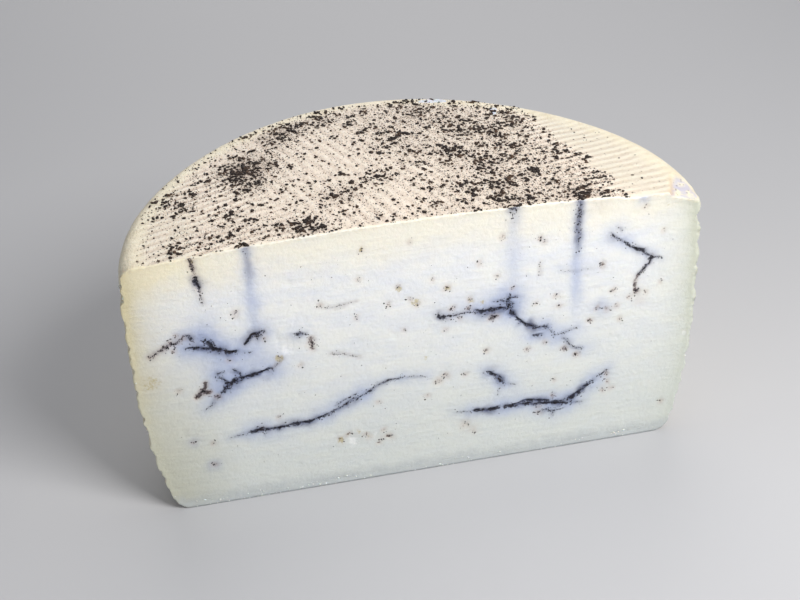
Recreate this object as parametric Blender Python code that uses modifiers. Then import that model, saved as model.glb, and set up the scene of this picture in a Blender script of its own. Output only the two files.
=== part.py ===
"""Half a wheel of truffle sheep cheese, standing on its base.

Units are metres and +Z is up. The wheel is turned about the Z axis with its base
on z = 0, halved by a flat knife cut that faces -Y, sprinkled with truffle on top
and then marked: open truffle veins and broken eyes in the cut, and a chipped
corner. Last, an empty that carries it all puts the middle of the base of its
box on the origin.
"""

import math
import random
from typing import NamedTuple

import bmesh
import bpy
from mathutils import Euler, Matrix, Vector

# Corners closer than this are one corner
TOUCH = 0.00001

# Wheel, as turned
WHEEL_RADIUS = 0.0900
WHEEL_HEIGHT = 0.0977
WIDEST_HEIGHT = 0.0500
BASE_TAPER = 0.0067
TOP_TAPER = 0.0015
TOP_DOME = 0.0034
SHOULDER_RADIUS = 0.0052
FOOT_RADIUS = 0.0058
AROUND_STEPS = 64
SHOULDER_STEPS = 5
FOOT_STEPS = 4
TOP_RINGS = 6

# Ribs that the mould's basket pressed round the side
RIB_PITCH = 0.00875
RIB_DEPTH = 0.0007
FIRST_RIB_HEIGHT = 0.0100
STATIONS_PER_RIB = 4
RIB_MIDDLE = 0.5

# Waves of the plan, which isn't quite round: waves round, cosine and sine parts
PLAN_WAVES = ((2, 0.00007, 0.00005), (3, 0.00032, -0.00016), (4, 0.00100, 0.00020))

# Knife cut, a little in front of the axis, and its softened upper edge
CUT_OFFSET = 0.0058
CUT_EDGE_ROUND = 0.0012
CUT_EDGE_STEPS = 2

# Chip at the right end of the upper edge, and the broken lip beside it
CHIP_WALL = (0.0802, -0.0060)
CHIP_SIZE = (0.0200, 0.0260, 0.0100)
CHIP_DEPTH = 0.0015
CHIP_TURN = math.radians(-16.0)
CHIP_FALL = math.radians(20.0)
CHIP_RISE = math.radians(6.0)
LIP_CENTRE = (0.0700, 0.0959)
LIP_SIZE = (0.0140, 0.0040, 0.0032)
LIP_TURN = math.radians(4.0)

# Grooves of the truffle veins: half width, and how far the round tool stands out
VEIN_STAND_OFF = 0.0003
VEIN_END_SHARE = 0.40


class Vein(NamedTuple):
    """An open vein in the cut face: its half width and its route as (x, z)."""

    name: str
    half_width: float
    route: tuple


VEINS = (
    Vein("vein_left_upper", 0.0009, (
        (-0.0725, 0.0633), (-0.0681, 0.0626), (-0.0650, 0.0622), (-0.0619, 0.0601),
        (-0.0585, 0.0598))),
    Vein("vein_left_knot", 0.0010, (
        (-0.0553, 0.0620), (-0.0537, 0.0645), (-0.0515, 0.0653), (-0.0494, 0.0650))),
    Vein("vein_left_lower", 0.0009, (
        (-0.0481, 0.0508), (-0.0515, 0.0508), (-0.0550, 0.0498), (-0.0588, 0.0487),
        (-0.0620, 0.0470), (-0.0644, 0.0451))),
    Vein("vein_long", 0.0009, (
        (-0.0588, 0.0272), (-0.0525, 0.0282), (-0.0450, 0.0277), (-0.0388, 0.0282),
        (-0.0338, 0.0291), (-0.0300, 0.0304), (-0.0269, 0.0320), (-0.0238, 0.0335),
        (-0.0200, 0.0351), (-0.0150, 0.0382), (-0.0110, 0.0395), (-0.0069, 0.0399))),
    Vein("vein_right_middle", 0.0010, (
        (0.0060, 0.0614), (0.0100, 0.0608), (0.0163, 0.0612), (0.0213, 0.0608),
        (0.0250, 0.0610), (0.0288, 0.0590), (0.0313, 0.0558), (0.0338, 0.0533),
        (0.0375, 0.0514), (0.0413, 0.0505))),
    Vein("vein_right_upper", 0.0007, (
        (0.0606, 0.0826), (0.0638, 0.0805), (0.0675, 0.0776), (0.0713, 0.0748),
        (0.0750, 0.0720), (0.0744, 0.0695), (0.0725, 0.0676), (0.0710, 0.0655))),
    Vein("vein_short", 0.0010, (
        (0.0210, 0.0365), (0.0238, 0.0345), (0.0256, 0.0326), (0.0266, 0.0308))),
    Vein("vein_right_lower", 0.0009, (
        (0.0125, 0.0216), (0.0170, 0.0213), (0.0213, 0.0208), (0.0269, 0.0214),
        (0.0350, 0.0218), (0.0400, 0.0202), (0.0438, 0.0196), (0.0500, 0.0198),
        (0.0538, 0.0226), (0.0569, 0.0258))),
)

# Broken eyes in the cut face: middle as (x, z) and radius
EYES = (
    ((-0.0286, 0.0178), 0.0013),
    ((-0.0262, 0.0196), 0.0012),
    ((-0.0225, 0.0201), 0.0011),
    ((-0.0200, 0.0172), 0.0012),
    ((-0.0150, 0.0160), 0.0015),
    ((-0.0121, 0.0166), 0.0012),
    ((-0.0350, 0.0588), 0.0011),
    ((0.0087, 0.0707), 0.0012),
    ((0.0156, 0.0658), 0.0010),
    ((0.0588, 0.0713), 0.0010),
    ((0.0475, 0.0410), 0.0012),
    ((0.0515, 0.0383), 0.0011),
    ((0.0706, 0.0595), 0.0011),
    ((0.0140, 0.0158), 0.0013),
)
EYE_SINK = 0.35

# Truffle on the top: where it gathers, as (x, y), spread and share of the crumbs
GATHERS = (
    ((-0.0455, 0.0450), 0.0065, 16), ((-0.0470, 0.0310), 0.0040, 7),
    ((-0.0350, 0.0660), 0.0055, 9), ((-0.0270, 0.0720), 0.0050, 6),
    ((-0.0180, 0.0770), 0.0050, 6), ((-0.0330, 0.0580), 0.0045, 5),
    ((-0.0680, 0.0280), 0.0035, 4), ((-0.0630, 0.0330), 0.0025, 2),
    ((-0.0750, 0.0300), 0.0035, 3), ((-0.0600, 0.0040), 0.0045, 6),
    ((-0.0700, 0.0020), 0.0030, 2), ((-0.0540, 0.0160), 0.0025, 2),
    ((-0.0320, 0.0015), 0.0040, 4), ((-0.0190, 0.0165), 0.0040, 5),
    ((-0.0030, 0.0225), 0.0025, 2), ((0.0030, 0.0490), 0.0035, 3),
    ((0.0000, 0.0605), 0.0030, 2), ((0.0180, 0.0740), 0.0040, 4),
    ((0.0140, 0.0660), 0.0040, 3), ((0.0260, 0.0610), 0.0045, 4),
    ((0.0465, 0.0610), 0.0035, 6), ((0.0430, 0.0540), 0.0025, 2),
    ((0.0380, 0.0430), 0.0035, 3), ((0.0410, 0.0350), 0.0030, 3),
    ((0.0210, 0.0360), 0.0040, 4), ((0.0180, 0.0120), 0.0030, 2),
    ((0.0290, 0.0100), 0.0045, 4), ((0.0430, 0.0150), 0.0025, 2),
    ((0.0540, 0.0270), 0.0040, 3), ((0.0615, 0.0095), 0.0030, 5),
    ((0.0520, -0.0005), 0.0050, 8), ((0.0350, 0.0030), 0.0040, 4),
)
LOOSE_SHARE = 45
GATHER_TIGHTNESS = 0.6
CRUMB_COUNT = 150
LARGE_COUNT = 46
CRUMB_SPACING = 1.3
LARGE_RADIUS = (0.0012, 0.0021)
SMALL_RADIUS = (0.0007, 0.0012)
CRUMB_STRETCH = (0.75, 1.25)
CRUMB_FLATNESS = 0.50
CRUMB_ROUGHNESS = 0.18
CRUMB_EDGE_MARGIN = 0.0020
CRUMB_TRIES = 4000
CRUMB_SEED = 31

# Bare part of the top on the right, beyond a line from its front to its back
BARE_FRONT = (0.0665, -0.0060)
BARE_BACK = (0.0500, 0.0720)

# Finish of the paste and of the truffle: colour, roughness, metallic
PASTE_FINISH = ((0.82, 0.79, 0.68, 1.0), 0.45, 0.0)
TRUFFLE_FINISH = ((0.035, 0.022, 0.016, 1.0), 0.65, 0.0)


def clear_scene():
    """Remove every object that the file opened with."""
    for item in list(bpy.data.objects):
        bpy.data.objects.remove(item, do_unlink=True)


def new_collection(name):
    """Add a collection to the scene."""
    collection = bpy.data.collections.new(name)
    bpy.context.scene.collection.children.link(collection)
    return collection


def finish_material(name, finish):
    """Make a plain material from a colour, a roughness and a metallic value."""
    colour, roughness, metallic = finish
    material = bpy.data.materials.new(name)
    material.use_nodes = True
    shader = material.node_tree.nodes["Principled BSDF"]
    shader.inputs["Base Color"].default_value = colour
    shader.inputs["Roughness"].default_value = roughness
    shader.inputs["Metallic"].default_value = metallic
    material.diffuse_color = colour
    return material


def object_from_bmesh(name, shape, collection):
    """Turn a bmesh into an object of the collection and free the bmesh."""
    mesh = bpy.data.meshes.new(name)
    shape.to_mesh(mesh)
    shape.free()
    item = bpy.data.objects.new(name, mesh)
    collection.objects.link(item)
    return item


def evaluated_mesh(item):
    """Return a new mesh of the object with its modifiers applied."""
    graph = bpy.context.evaluated_depsgraph_get()
    return bpy.data.meshes.new_from_object(item.evaluated_get(graph))


def settle_mesh(item, mesh):
    """Give the object a finished mesh in place of its old one and its modifiers."""
    old = item.data
    item.modifiers.clear()
    item.data = mesh
    bpy.data.meshes.remove(old)
    mesh.name = item.name


def rib_relief(height):
    """Radius that the ribs add at a height: round crests, sharp valleys."""
    phase = math.pi * (height - FIRST_RIB_HEIGHT) / RIB_PITCH
    return RIB_DEPTH * (abs(math.cos(phase)) - RIB_MIDDLE)


def side_radius(height):
    """Radius of the barrel-shaped side at a height, without its ribs."""
    below = max(0.0, (WIDEST_HEIGHT - height) / WIDEST_HEIGHT)
    above = max(0.0, (height - WIDEST_HEIGHT) / (WHEEL_HEIGHT - WIDEST_HEIGHT))
    return WHEEL_RADIUS - BASE_TAPER * below ** 2 - TOP_TAPER * above ** 2


SHOULDER_HEIGHT = WHEEL_HEIGHT - TOP_DOME - SHOULDER_RADIUS
TOP_RADIUS = side_radius(SHOULDER_HEIGHT) - SHOULDER_RADIUS


def top_height(radius):
    """Height of the domed top at a distance from the axis."""
    return WHEEL_HEIGHT - TOP_DOME * (radius / TOP_RADIUS) ** 2


def quarter_arc(centre, radius, start, steps):
    """Points of a quarter turn clockwise from an angle, both ends included."""
    points = []
    for step in range(steps + 1):
        angle = start - 0.5 * math.pi * step / steps
        points.append((centre[0] + radius * math.cos(angle),
                       centre[1] + radius * math.sin(angle)))
    return points


def side_stations():
    """Heights down the side, on each rib's crest, flanks and valley."""
    step = RIB_PITCH / STATIONS_PER_RIB
    lowest = math.ceil((FOOT_RADIUS - FIRST_RIB_HEIGHT) / step + 0.5)
    highest = math.floor((SHOULDER_HEIGHT - FIRST_RIB_HEIGHT) / step - 0.5)
    return [FIRST_RIB_HEIGHT + step * index for index in range(highest, lowest - 1, -1)]


def wheel_profile():
    """Half outline of the wheel, from the middle of its top round to its base."""
    points = [(TOP_RADIUS * ring / TOP_RINGS, top_height(TOP_RADIUS * ring / TOP_RINGS))
              for ring in range(TOP_RINGS)]
    points += quarter_arc((TOP_RADIUS, SHOULDER_HEIGHT), SHOULDER_RADIUS,
                          0.5 * math.pi, SHOULDER_STEPS)
    points += [(side_radius(height) + rib_relief(height), height) for height in side_stations()]
    foot_centre = (side_radius(FOOT_RADIUS) - FOOT_RADIUS, FOOT_RADIUS)
    points += quarter_arc(foot_centre, FOOT_RADIUS, 0.0, FOOT_STEPS)
    points.append((0.0, 0.0))
    return points


def plan_scale(angle):
    """How much wider or narrower than round the wheel is in a direction."""
    wave = sum(cosine * math.cos(count * angle) + sine * math.sin(count * angle)
               for count, cosine, sine in PLAN_WAVES)
    return 1.0 + wave / WHEEL_RADIUS


def turned_wheel(collection):
    """Turn the whole wheel about the Z axis with a Screw modifier."""
    shape = bmesh.new()
    corners = [shape.verts.new((radius, 0.0, height)) for radius, height in wheel_profile()]
    for upper, lower in zip(corners, corners[1:]):
        shape.edges.new((upper, lower))
    wheel = object_from_bmesh("cheese", shape, collection)
    screw = wheel.modifiers.new("turn", "SCREW")
    screw.axis = "Z"
    screw.steps = AROUND_STEPS
    screw.render_steps = AROUND_STEPS
    screw.use_merge_vertices = True
    screw.merge_threshold = TOUCH
    return wheel


def halve(wheel):
    """Apply the turning, make the plan uneven and cut the front half away."""
    turned = evaluated_mesh(wheel)
    shape = bmesh.new()
    shape.from_mesh(turned)
    for corner in shape.verts:
        scale = plan_scale(math.atan2(corner.co.y, corner.co.x))
        corner.co.x *= scale
        corner.co.y *= scale
    cut = bmesh.ops.bisect_plane(
        shape, geom=shape.verts[:] + shape.edges[:] + shape.faces[:], dist=0.1 * TOUCH,
        plane_co=(0.0, -CUT_OFFSET, 0.0), plane_no=(0.0, -1.0, 0.0), clear_outer=True)
    rim = [part for part in cut["geom_cut"] if isinstance(part, bmesh.types.BMEdge)]
    bmesh.ops.contextual_create(shape, geom=rim)
    bmesh.ops.recalc_face_normals(shape, faces=shape.faces[:])
    upper = [edge for edge in shape.edges
             if all(abs(corner.co.y + CUT_OFFSET) < TOUCH for corner in edge.verts)
             and min(corner.co.z for corner in edge.verts) > top_height(TOP_RADIUS) - TOUCH]
    bmesh.ops.bevel(shape, geom=upper, offset=CUT_EDGE_ROUND, offset_type="OFFSET",
                    segments=CUT_EDGE_STEPS, profile=0.5, affect="EDGES",
                    clamp_overlap=True, material=-1)
    shape.to_mesh(turned)
    shape.free()
    settle_mesh(wheel, turned)


def on_sprinkled_top(spot):
    """Say whether a spot (x, y) lies on the part of the top that has truffle."""
    angle = math.atan2(spot[1], spot[0])
    reach = TOP_RADIUS * plan_scale(angle) - CRUMB_EDGE_MARGIN
    if math.hypot(*spot) > reach or spot[1] < CRUMB_EDGE_MARGIN - CUT_OFFSET:
        return False
    along = (spot[1] - BARE_FRONT[1]) / (BARE_BACK[1] - BARE_FRONT[1])
    return spot[0] < BARE_FRONT[0] + along * (BARE_BACK[0] - BARE_FRONT[0])


def crumb_spots():
    """Choose spots and radii for the crumbs, the largest first, none touching."""
    draw = random.Random(CRUMB_SEED)
    shares = [share for _, _, share in GATHERS] + [LOOSE_SHARE]
    spots = []
    for _ in range(CRUMB_TRIES):
        if len(spots) == CRUMB_COUNT:
            break
        limits = LARGE_RADIUS if len(spots) < LARGE_COUNT else SMALL_RADIUS
        radius = draw.uniform(*limits)
        choice = draw.choices(range(len(shares)), weights=shares)[0]
        if choice < len(GATHERS):
            middle, spread, _ = GATHERS[choice]
            spot = [draw.gauss(place, GATHER_TIGHTNESS * spread) for place in middle]
        else:
            spot = [draw.uniform(-TOP_RADIUS, TOP_RADIUS), draw.uniform(-CUT_OFFSET, TOP_RADIUS)]
        clear = all(math.dist(spot, other) > CRUMB_SPACING * (radius + size)
                    for other, size in spots)
        if clear and on_sprinkled_top(spot):
            spots.append((spot, radius))
    return spots


def crumb(name, spot, radius, draw, collection, material):
    """Make one truffle crumb, an uneven flattened lump half sunk in the top."""
    shape = bmesh.new()
    bmesh.ops.create_icosphere(shape, subdivisions=1, radius=radius)
    for corner in shape.verts:
        corner.co *= 1.0 + draw.uniform(-CRUMB_ROUGHNESS, CRUMB_ROUGHNESS)
    turn = Euler([draw.uniform(0.0, math.tau) for _ in range(3)]).to_matrix().to_4x4()
    stretch = draw.uniform(*CRUMB_STRETCH)
    squash = Matrix.Diagonal((stretch, 1.0 / stretch, CRUMB_FLATNESS, 1.0))
    heading = Matrix.Rotation(draw.uniform(0.0, math.tau), 4, "Z")
    bmesh.ops.transform(shape, matrix=heading @ squash @ turn, verts=shape.verts)
    item = object_from_bmesh(name, shape, collection)
    scale = plan_scale(math.atan2(spot[1], spot[0]))
    item.location = (spot[0], spot[1], top_height(math.hypot(*spot) / scale))
    item.data.materials.append(material)
    return item


def sprinkle(wheel, material):
    """Fuse the truffle crumbs to the top by one union, then remove them."""
    crumbs = new_collection("crumbs")
    draw = random.Random(CRUMB_SEED + 1)
    for index, (spot, radius) in enumerate(crumb_spots()):
        crumb(f"crumb_{index}", spot, radius, draw, crumbs, material)
    union = wheel.modifiers.new("sprinkle", "BOOLEAN")
    union.operation = "UNION"
    union.operand_type = "COLLECTION"
    union.collection = crumbs
    union.solver = "EXACT"
    union.material_mode = "TRANSFER"
    bpy.context.view_layer.update()
    settle_mesh(wheel, evaluated_mesh(wheel))
    for item in list(crumbs.objects):
        bpy.data.objects.remove(item, do_unlink=True)
    bpy.data.collections.remove(crumbs)


def as_cutter(item):
    """Mark an object as a cutter, which isn't part of the cheese."""
    item.hide_render = True
    item.display_type = "WIRE"
    return item


def vein_cutter(vein, collection):
    """Make the round tool that opens a vein's groove, thin at both its ends."""
    data = bpy.data.curves.new(vein.name, "CURVE")
    data.dimensions = "3D"
    data.bevel_depth = vein.half_width
    data.bevel_resolution = 1
    data.use_fill_caps = True
    spline = data.splines.new("POLY")
    spline.points.add(len(vein.route) - 1)
    for index, (point, place) in enumerate(zip(spline.points, vein.route)):
        at_end = index in (0, len(vein.route) - 1)
        point.co = (place[0], -CUT_OFFSET - VEIN_STAND_OFF, place[1], 1.0)
        point.radius = VEIN_END_SHARE if at_end else 1.0
    line = bpy.data.objects.new(vein.name + "_line", data)
    collection.objects.link(line)
    shape = bmesh.new()
    shape.from_mesh(evaluated_mesh(line))
    bmesh.ops.remove_doubles(shape, verts=shape.verts, dist=TOUCH)
    bmesh.ops.recalc_face_normals(shape, faces=shape.faces[:])
    tool = object_from_bmesh(vein.name, shape, collection)
    tool.matrix_world = line.matrix_world
    bpy.data.objects.remove(line, do_unlink=True)
    return as_cutter(tool)


def eye_cutter(name, middle, radius, collection):
    """Make the ball that opens a broken eye in the cut face."""
    shape = bmesh.new()
    bmesh.ops.create_icosphere(shape, subdivisions=1, radius=radius)
    tool = object_from_bmesh(name, shape, collection)
    tool.location = (middle[0], -CUT_OFFSET - EYE_SINK * radius, middle[1])
    return as_cutter(tool)


def box_cutter(name, size, collection):
    """Make a block with its lower inner front corner on its own origin."""
    shape = bmesh.new()
    bmesh.ops.create_cube(shape, size=1.0)
    bmesh.ops.scale(shape, vec=size, verts=shape.verts)
    bmesh.ops.translate(shape, vec=[0.5 * side for side in size], verts=shape.verts)
    return as_cutter(object_from_bmesh(name, shape, collection))


def chip_cutter(collection):
    """Make the block that breaks the corner away: its floor falls outward and to the front."""
    tool = box_cutter("chip", CHIP_SIZE, collection)
    edge = top_height(math.hypot(*CHIP_WALL)) - CHIP_DEPTH
    floor = Matrix.Rotation(CHIP_RISE, 4, "X") @ Matrix.Rotation(CHIP_FALL, 4, "Y")
    turn = Matrix.Rotation(CHIP_TURN, 4, "Z") @ floor
    tool.matrix_world = Matrix.Translation(Vector((*CHIP_WALL, edge))) @ turn
    return tool


def lip_cutter(collection):
    """Make the long flat ball that bites a shallow hollow into the upper edge."""
    shape = bmesh.new()
    bmesh.ops.create_icosphere(shape, subdivisions=2, radius=0.5)
    bmesh.ops.scale(shape, vec=LIP_SIZE, verts=shape.verts)
    tool = object_from_bmesh("lip", shape, collection)
    tool.location = (LIP_CENTRE[0], -CUT_OFFSET, LIP_CENTRE[1])
    tool.rotation_euler = (0.0, LIP_TURN, 0.0)
    return as_cutter(tool)


def mark(wheel):
    """Open the veins and the eyes and break the chipped corner away."""
    cutters = new_collection("cheese_cutters")
    for vein in VEINS:
        vein_cutter(vein, cutters)
    for index, (middle, radius) in enumerate(EYES):
        eye_cutter(f"eye_{index}", middle, radius, cutters)
    chip_cutter(cutters)
    lip_cutter(cutters)
    cut = wheel.modifiers.new("marks", "BOOLEAN")
    cut.operation = "DIFFERENCE"
    cut.operand_type = "COLLECTION"
    cut.collection = cutters
    cut.solver = "EXACT"
    return cutters


def carry(wheel, cutters, collection):
    """Parent all to an empty that puts the base's middle on the origin."""
    bpy.context.view_layer.update()
    graph = bpy.context.evaluated_depsgraph_get()
    corners = [Vector(corner) for corner in wheel.evaluated_get(graph).bound_box]
    middle = [0.5 * (min(c[axis] for c in corners) + max(c[axis] for c in corners))
              for axis in (0, 1)]
    carrier = bpy.data.objects.new("wheel_axis", None)
    collection.objects.link(carrier)
    wheel.parent = carrier
    for tool in cutters.objects:
        tool.parent = carrier
    carrier.location = (-middle[0], -middle[1], 0.0)


def main():
    """Build the cheese."""
    clear_scene()
    cheese = new_collection("truffle_sheep_cheese")
    paste = finish_material("sheep_cheese_paste", PASTE_FINISH)
    truffle = finish_material("truffle_crumb", TRUFFLE_FINISH)
    wheel = turned_wheel(cheese)
    halve(wheel)
    wheel.data.materials.append(paste)
    wheel.data.materials.append(truffle)
    sprinkle(wheel, truffle)
    cutters = mark(wheel)
    carry(wheel, cutters, cheese)
    wheel.data.shade_smooth()
    wheel.data.set_sharp_from_angle(angle=math.radians(35.0))
    bpy.context.view_layer.update()


main()
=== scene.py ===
"""Looks of half a wheel of truffle sheep cheese: its body, its truffle and its crumbs.

Lengths are millimetres in the wheel's own frame: the wheel's axis is Z, its base
is z = 0 and the knife cut faces -Y. Each finished mesh is then set, in metres,
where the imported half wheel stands.
"""

import itertools
import logging
import math
from dataclasses import dataclass, field
from enum import Enum
from typing import Any, Iterable, Sequence

import bmesh
import bpy
import numpy as np
from mathutils import Matrix, Vector


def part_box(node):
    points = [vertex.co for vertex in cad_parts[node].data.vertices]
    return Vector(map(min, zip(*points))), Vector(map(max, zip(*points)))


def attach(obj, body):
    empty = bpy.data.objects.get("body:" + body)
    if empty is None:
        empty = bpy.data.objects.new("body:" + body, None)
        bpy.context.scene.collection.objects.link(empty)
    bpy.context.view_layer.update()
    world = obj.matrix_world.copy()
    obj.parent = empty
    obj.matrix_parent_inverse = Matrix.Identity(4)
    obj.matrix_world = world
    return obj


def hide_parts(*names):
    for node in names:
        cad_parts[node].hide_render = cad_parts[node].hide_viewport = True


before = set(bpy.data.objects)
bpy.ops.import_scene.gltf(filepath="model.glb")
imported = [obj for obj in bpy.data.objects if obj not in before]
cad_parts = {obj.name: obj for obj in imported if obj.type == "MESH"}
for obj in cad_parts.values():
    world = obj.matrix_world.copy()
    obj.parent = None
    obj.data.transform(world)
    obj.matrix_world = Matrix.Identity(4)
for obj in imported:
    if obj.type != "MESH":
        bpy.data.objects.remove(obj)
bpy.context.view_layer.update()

log = logging.getLogger("truffle_cheese")

Colour = tuple[float, float, float]
Spot = tuple[float, float]

# Millimetres to metres, a distance under which two corners are one, and one past everything
METRE = 0.001
TOUCH = 0.001
NOWHERE = 1e3


def soft_step(value: np.ndarray, low: float, high: float) -> np.ndarray:
    """Rise smoothly from 0 at low to 1 at high.

    Args:
        value: The numbers to map.
        low: Where the rise starts.
        high: Where it ends.

    Returns:
        Numbers from 0 to 1.
    """
    share = np.clip((value - low) / (high - low), 0.0, 1.0)
    return share * share * (3.0 - 2.0 * share)


def bell(distance: np.ndarray, reach: Any) -> np.ndarray:
    """Fall smoothly from 1 at no distance towards 0 beyond a reach."""
    return np.exp(-(distance / reach) ** 2)


class LatticeNoise:
    """Smooth seeded noise on a lattice that repeats."""

    SIDE = 32

    def __init__(self, seed: int) -> None:
        """Draw the lattice.

        Args:
            seed: Seed of the draw.
        """
        draw = np.random.default_rng(seed)
        self.lattice = draw.uniform(-1.0, 1.0, (self.SIDE,) * 3)

    def at(self, places: np.ndarray, size: float) -> np.ndarray:
        """Read the noise at places.

        Args:
            places: Rows of x, y and z.
            size: Distance between lattice points.

        Returns:
            A number from -1 to 1 for each place.
        """
        scaled = places / size
        corner = np.floor(scaled).astype(int)
        part = scaled - corner
        part = part * part * (3.0 - 2.0 * part)
        total = np.zeros(len(places))
        for step in itertools.product((0, 1), repeat=3):
            weight = np.prod(np.where(step, part, 1.0 - part), axis=1)
            index = tuple(((corner + step) % self.SIDE).T)
            total += weight * self.lattice[index]
        return total

    def rough(self, places: np.ndarray, size: float, octaves: int = 3) -> np.ndarray:
        """Sum the noise at sizes and strengths that halve.

        Args:
            places: Rows of x, y and z.
            size: Largest distance between lattice points.
            octaves: How many sizes are summed.

        Returns:
            A number of about -1 to 1 for each place.
        """
        total = np.zeros(len(places))
        for octave in range(octaves):
            shift = 7.3 * octave
            total += 0.5 ** octave * self.at(places + shift, size * 0.5 ** octave)
        return total / 1.5


def route_distance(spots: np.ndarray, route: Sequence[Spot]) -> tuple[np.ndarray, np.ndarray]:
    """Measure how far spots lie from a route of straight runs.

    Args:
        spots: Rows of x and z.
        route: The route's points.

    Returns:
        The distance, and the place along the route counted in points.
    """
    nearest = np.full(len(spots), NOWHERE)
    along = np.zeros(len(spots))
    for index, (start, end) in enumerate(zip(route, route[1:])):
        start, run = np.array(start), np.subtract(end, start)
        share = np.clip((spots - start) @ run / (run @ run), 0.0, 1.0)
        distance = np.linalg.norm(spots - start - share[:, None] * run, axis=1)
        closer = distance < nearest
        nearest = np.where(closer, distance, nearest)
        along = np.where(closer, index + share, along)
    return nearest, along


@dataclass(frozen=True)
class WheelForm:
    """Sizes of the turned wheel, of its cut and of its broken corner."""

    radius: float = 90.0
    height: float = 97.7
    widest_height: float = 50.0
    base_taper: float = 6.7
    top_taper: float = 1.5
    dome: float = 3.4
    shoulder: float = 5.2
    foot: float = 5.8
    rib_pitch: float = 8.75
    rib_depth: float = 0.7
    first_rib: float = 10.0
    rib_middle: float = 0.5
    plan_waves: tuple = ((2, 0.07, 0.05), (3, 0.32, -0.16), (4, 1.00, 0.20))
    cut_offset: float = 5.8
    chip_wall: Spot = (80.2, -6.0)
    chip_depth: float = 1.5
    chip_length: float = 26.0
    chip_turn: float = math.radians(-16.0)
    chip_fall: float = math.radians(20.0)
    chip_rise: float = math.radians(6.0)
    lip_centre: Spot = (70.0, 95.9)
    lip_half: tuple[float, float, float] = (7.0, 2.0, 1.6)

    @property
    def shoulder_height(self) -> float:
        """Height at which the shoulder's arc starts."""
        return self.height - self.dome - self.shoulder

    @property
    def top_radius(self) -> float:
        """Radius of the domed top, inside the shoulder."""
        return float(self.side_radius(self.shoulder_height)) - self.shoulder

    @property
    def flat_height(self) -> float:
        """Height of the top's rim."""
        return self.height - self.dome

    def side_radius(self, height: Any) -> Any:
        """Radius of the barrel-shaped side at a height, without its ribs."""
        below = np.maximum(0.0, (self.widest_height - height) / self.widest_height)
        above = np.maximum(0.0, (height - self.widest_height) / (self.height - self.widest_height))
        return self.radius - self.base_taper * below ** 2 - self.top_taper * above ** 2

    def rib_relief(self, height: Any) -> Any:
        """Radius that the ribs add at a height: round crests, sharp valleys."""
        phase = math.pi * (height - self.first_rib) / self.rib_pitch
        return self.rib_depth * (np.abs(np.cos(phase)) - self.rib_middle)

    def plan_scale(self, angle: Any) -> Any:
        """How much wider or narrower than round the wheel is in a direction."""
        wave = sum(cosine * np.cos(count * angle) + sine * np.sin(count * angle)
                   for count, cosine, sine in self.plan_waves)
        return 1.0 + wave / self.radius

    def true_radius(self, x: Any, y: Any) -> Any:
        """Distance from the axis that a place has before the plan is made uneven."""
        return np.hypot(x, y) / self.plan_scale(np.arctan2(y, x))

    def side_profile(self, step: float) -> list[Spot]:
        """Outline from the top's rim round the shoulder, the side and the foot.

        Args:
            step: Distance between points down the side.

        Returns:
            Points as radius and height.
        """
        points = self.arc((self.top_radius, self.shoulder_height), self.shoulder, 0.5 * math.pi, 7)
        count = round((self.shoulder_height - self.foot) / step)
        for height in np.linspace(self.shoulder_height, self.foot, count + 1)[1:-1]:
            fade = min(1.0, (self.shoulder_height - height) / 3.0, (height - self.foot) / 3.0)
            relief = self.rib_relief(height) * fade
            points.append((float(self.side_radius(height) + relief), float(height)))
        foot_radius = float(self.side_radius(self.foot)) - self.foot
        return points + self.arc((foot_radius, self.foot), self.foot, 0.0, 6)

    @staticmethod
    def arc(centre: Spot, radius: float, start: float, steps: int) -> list[Spot]:
        """Points of a quarter turn clockwise from an angle, both ends included."""
        angles = [start - 0.5 * math.pi * step / steps for step in range(steps + 1)]
        return [(centre[0] + radius * math.cos(angle), centre[1] + radius * math.sin(angle))
                for angle in angles]

    def rise(self, x: np.ndarray, y: np.ndarray) -> np.ndarray:
        """Height that the dome adds to the top's rim."""
        share = np.minimum(1.0, self.true_radius(x, y) / self.top_radius)
        return self.dome * (1.0 - share ** 2)

    def past_wall(self, x: np.ndarray, y: np.ndarray) -> np.ndarray:
        """How far places lie to the right of the chip's wall."""
        return ((x - self.chip_wall[0]) * math.cos(self.chip_turn)
                + (y - self.chip_wall[1]) * math.sin(self.chip_turn))

    def chip_floor(self, x: np.ndarray, y: np.ndarray) -> np.ndarray:
        """Height of the chip's tilted floor, or a great height where there is no chip.

        Args:
            x: Places to the right.
            y: Places to the back.

        Returns:
            Heights.
        """
        tilt = (Matrix.Rotation(self.chip_turn, 3, "Z") @ Matrix.Rotation(self.chip_rise, 3, "X")
                @ Matrix.Rotation(self.chip_fall, 3, "Y"))
        up = tilt @ Vector((0.0, 0.0, 1.0))
        edge = self.flat_height + self.rise(*self.chip_wall) - self.chip_depth
        right, back = x - self.chip_wall[0], y - self.chip_wall[1]
        floor = edge - (up.x * right + up.y * back) / up.z
        return np.where((self.past_wall(x, y) > 0.0) & (back < self.chip_length), floor, NOWHERE)

    def lip_floor(self, x: np.ndarray, y: np.ndarray) -> np.ndarray:
        """Height of the bitten lip's floor, or a great height away from it."""
        right = (x - self.lip_centre[0]) / self.lip_half[0]
        back = (y + self.cut_offset) / self.lip_half[1]
        inside = 1.0 - right ** 2 - back ** 2
        floor = self.lip_centre[1] - self.lip_half[2] * np.sqrt(np.maximum(inside, 0.0))
        return np.where(inside > 0.0, floor, NOWHERE)

    def cut_top(self, x: np.ndarray) -> np.ndarray:
        """Height of the cut's upper outline, domed top and round shoulder."""
        y = np.full_like(x, -self.cut_offset)
        beyond = np.clip(self.true_radius(x, y) - self.top_radius, 0.0, self.shoulder)
        fall = self.shoulder - np.sqrt(self.shoulder ** 2 - beyond ** 2)
        return self.flat_height + self.rise(x, y) - fall


FORM = WheelForm()


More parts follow.
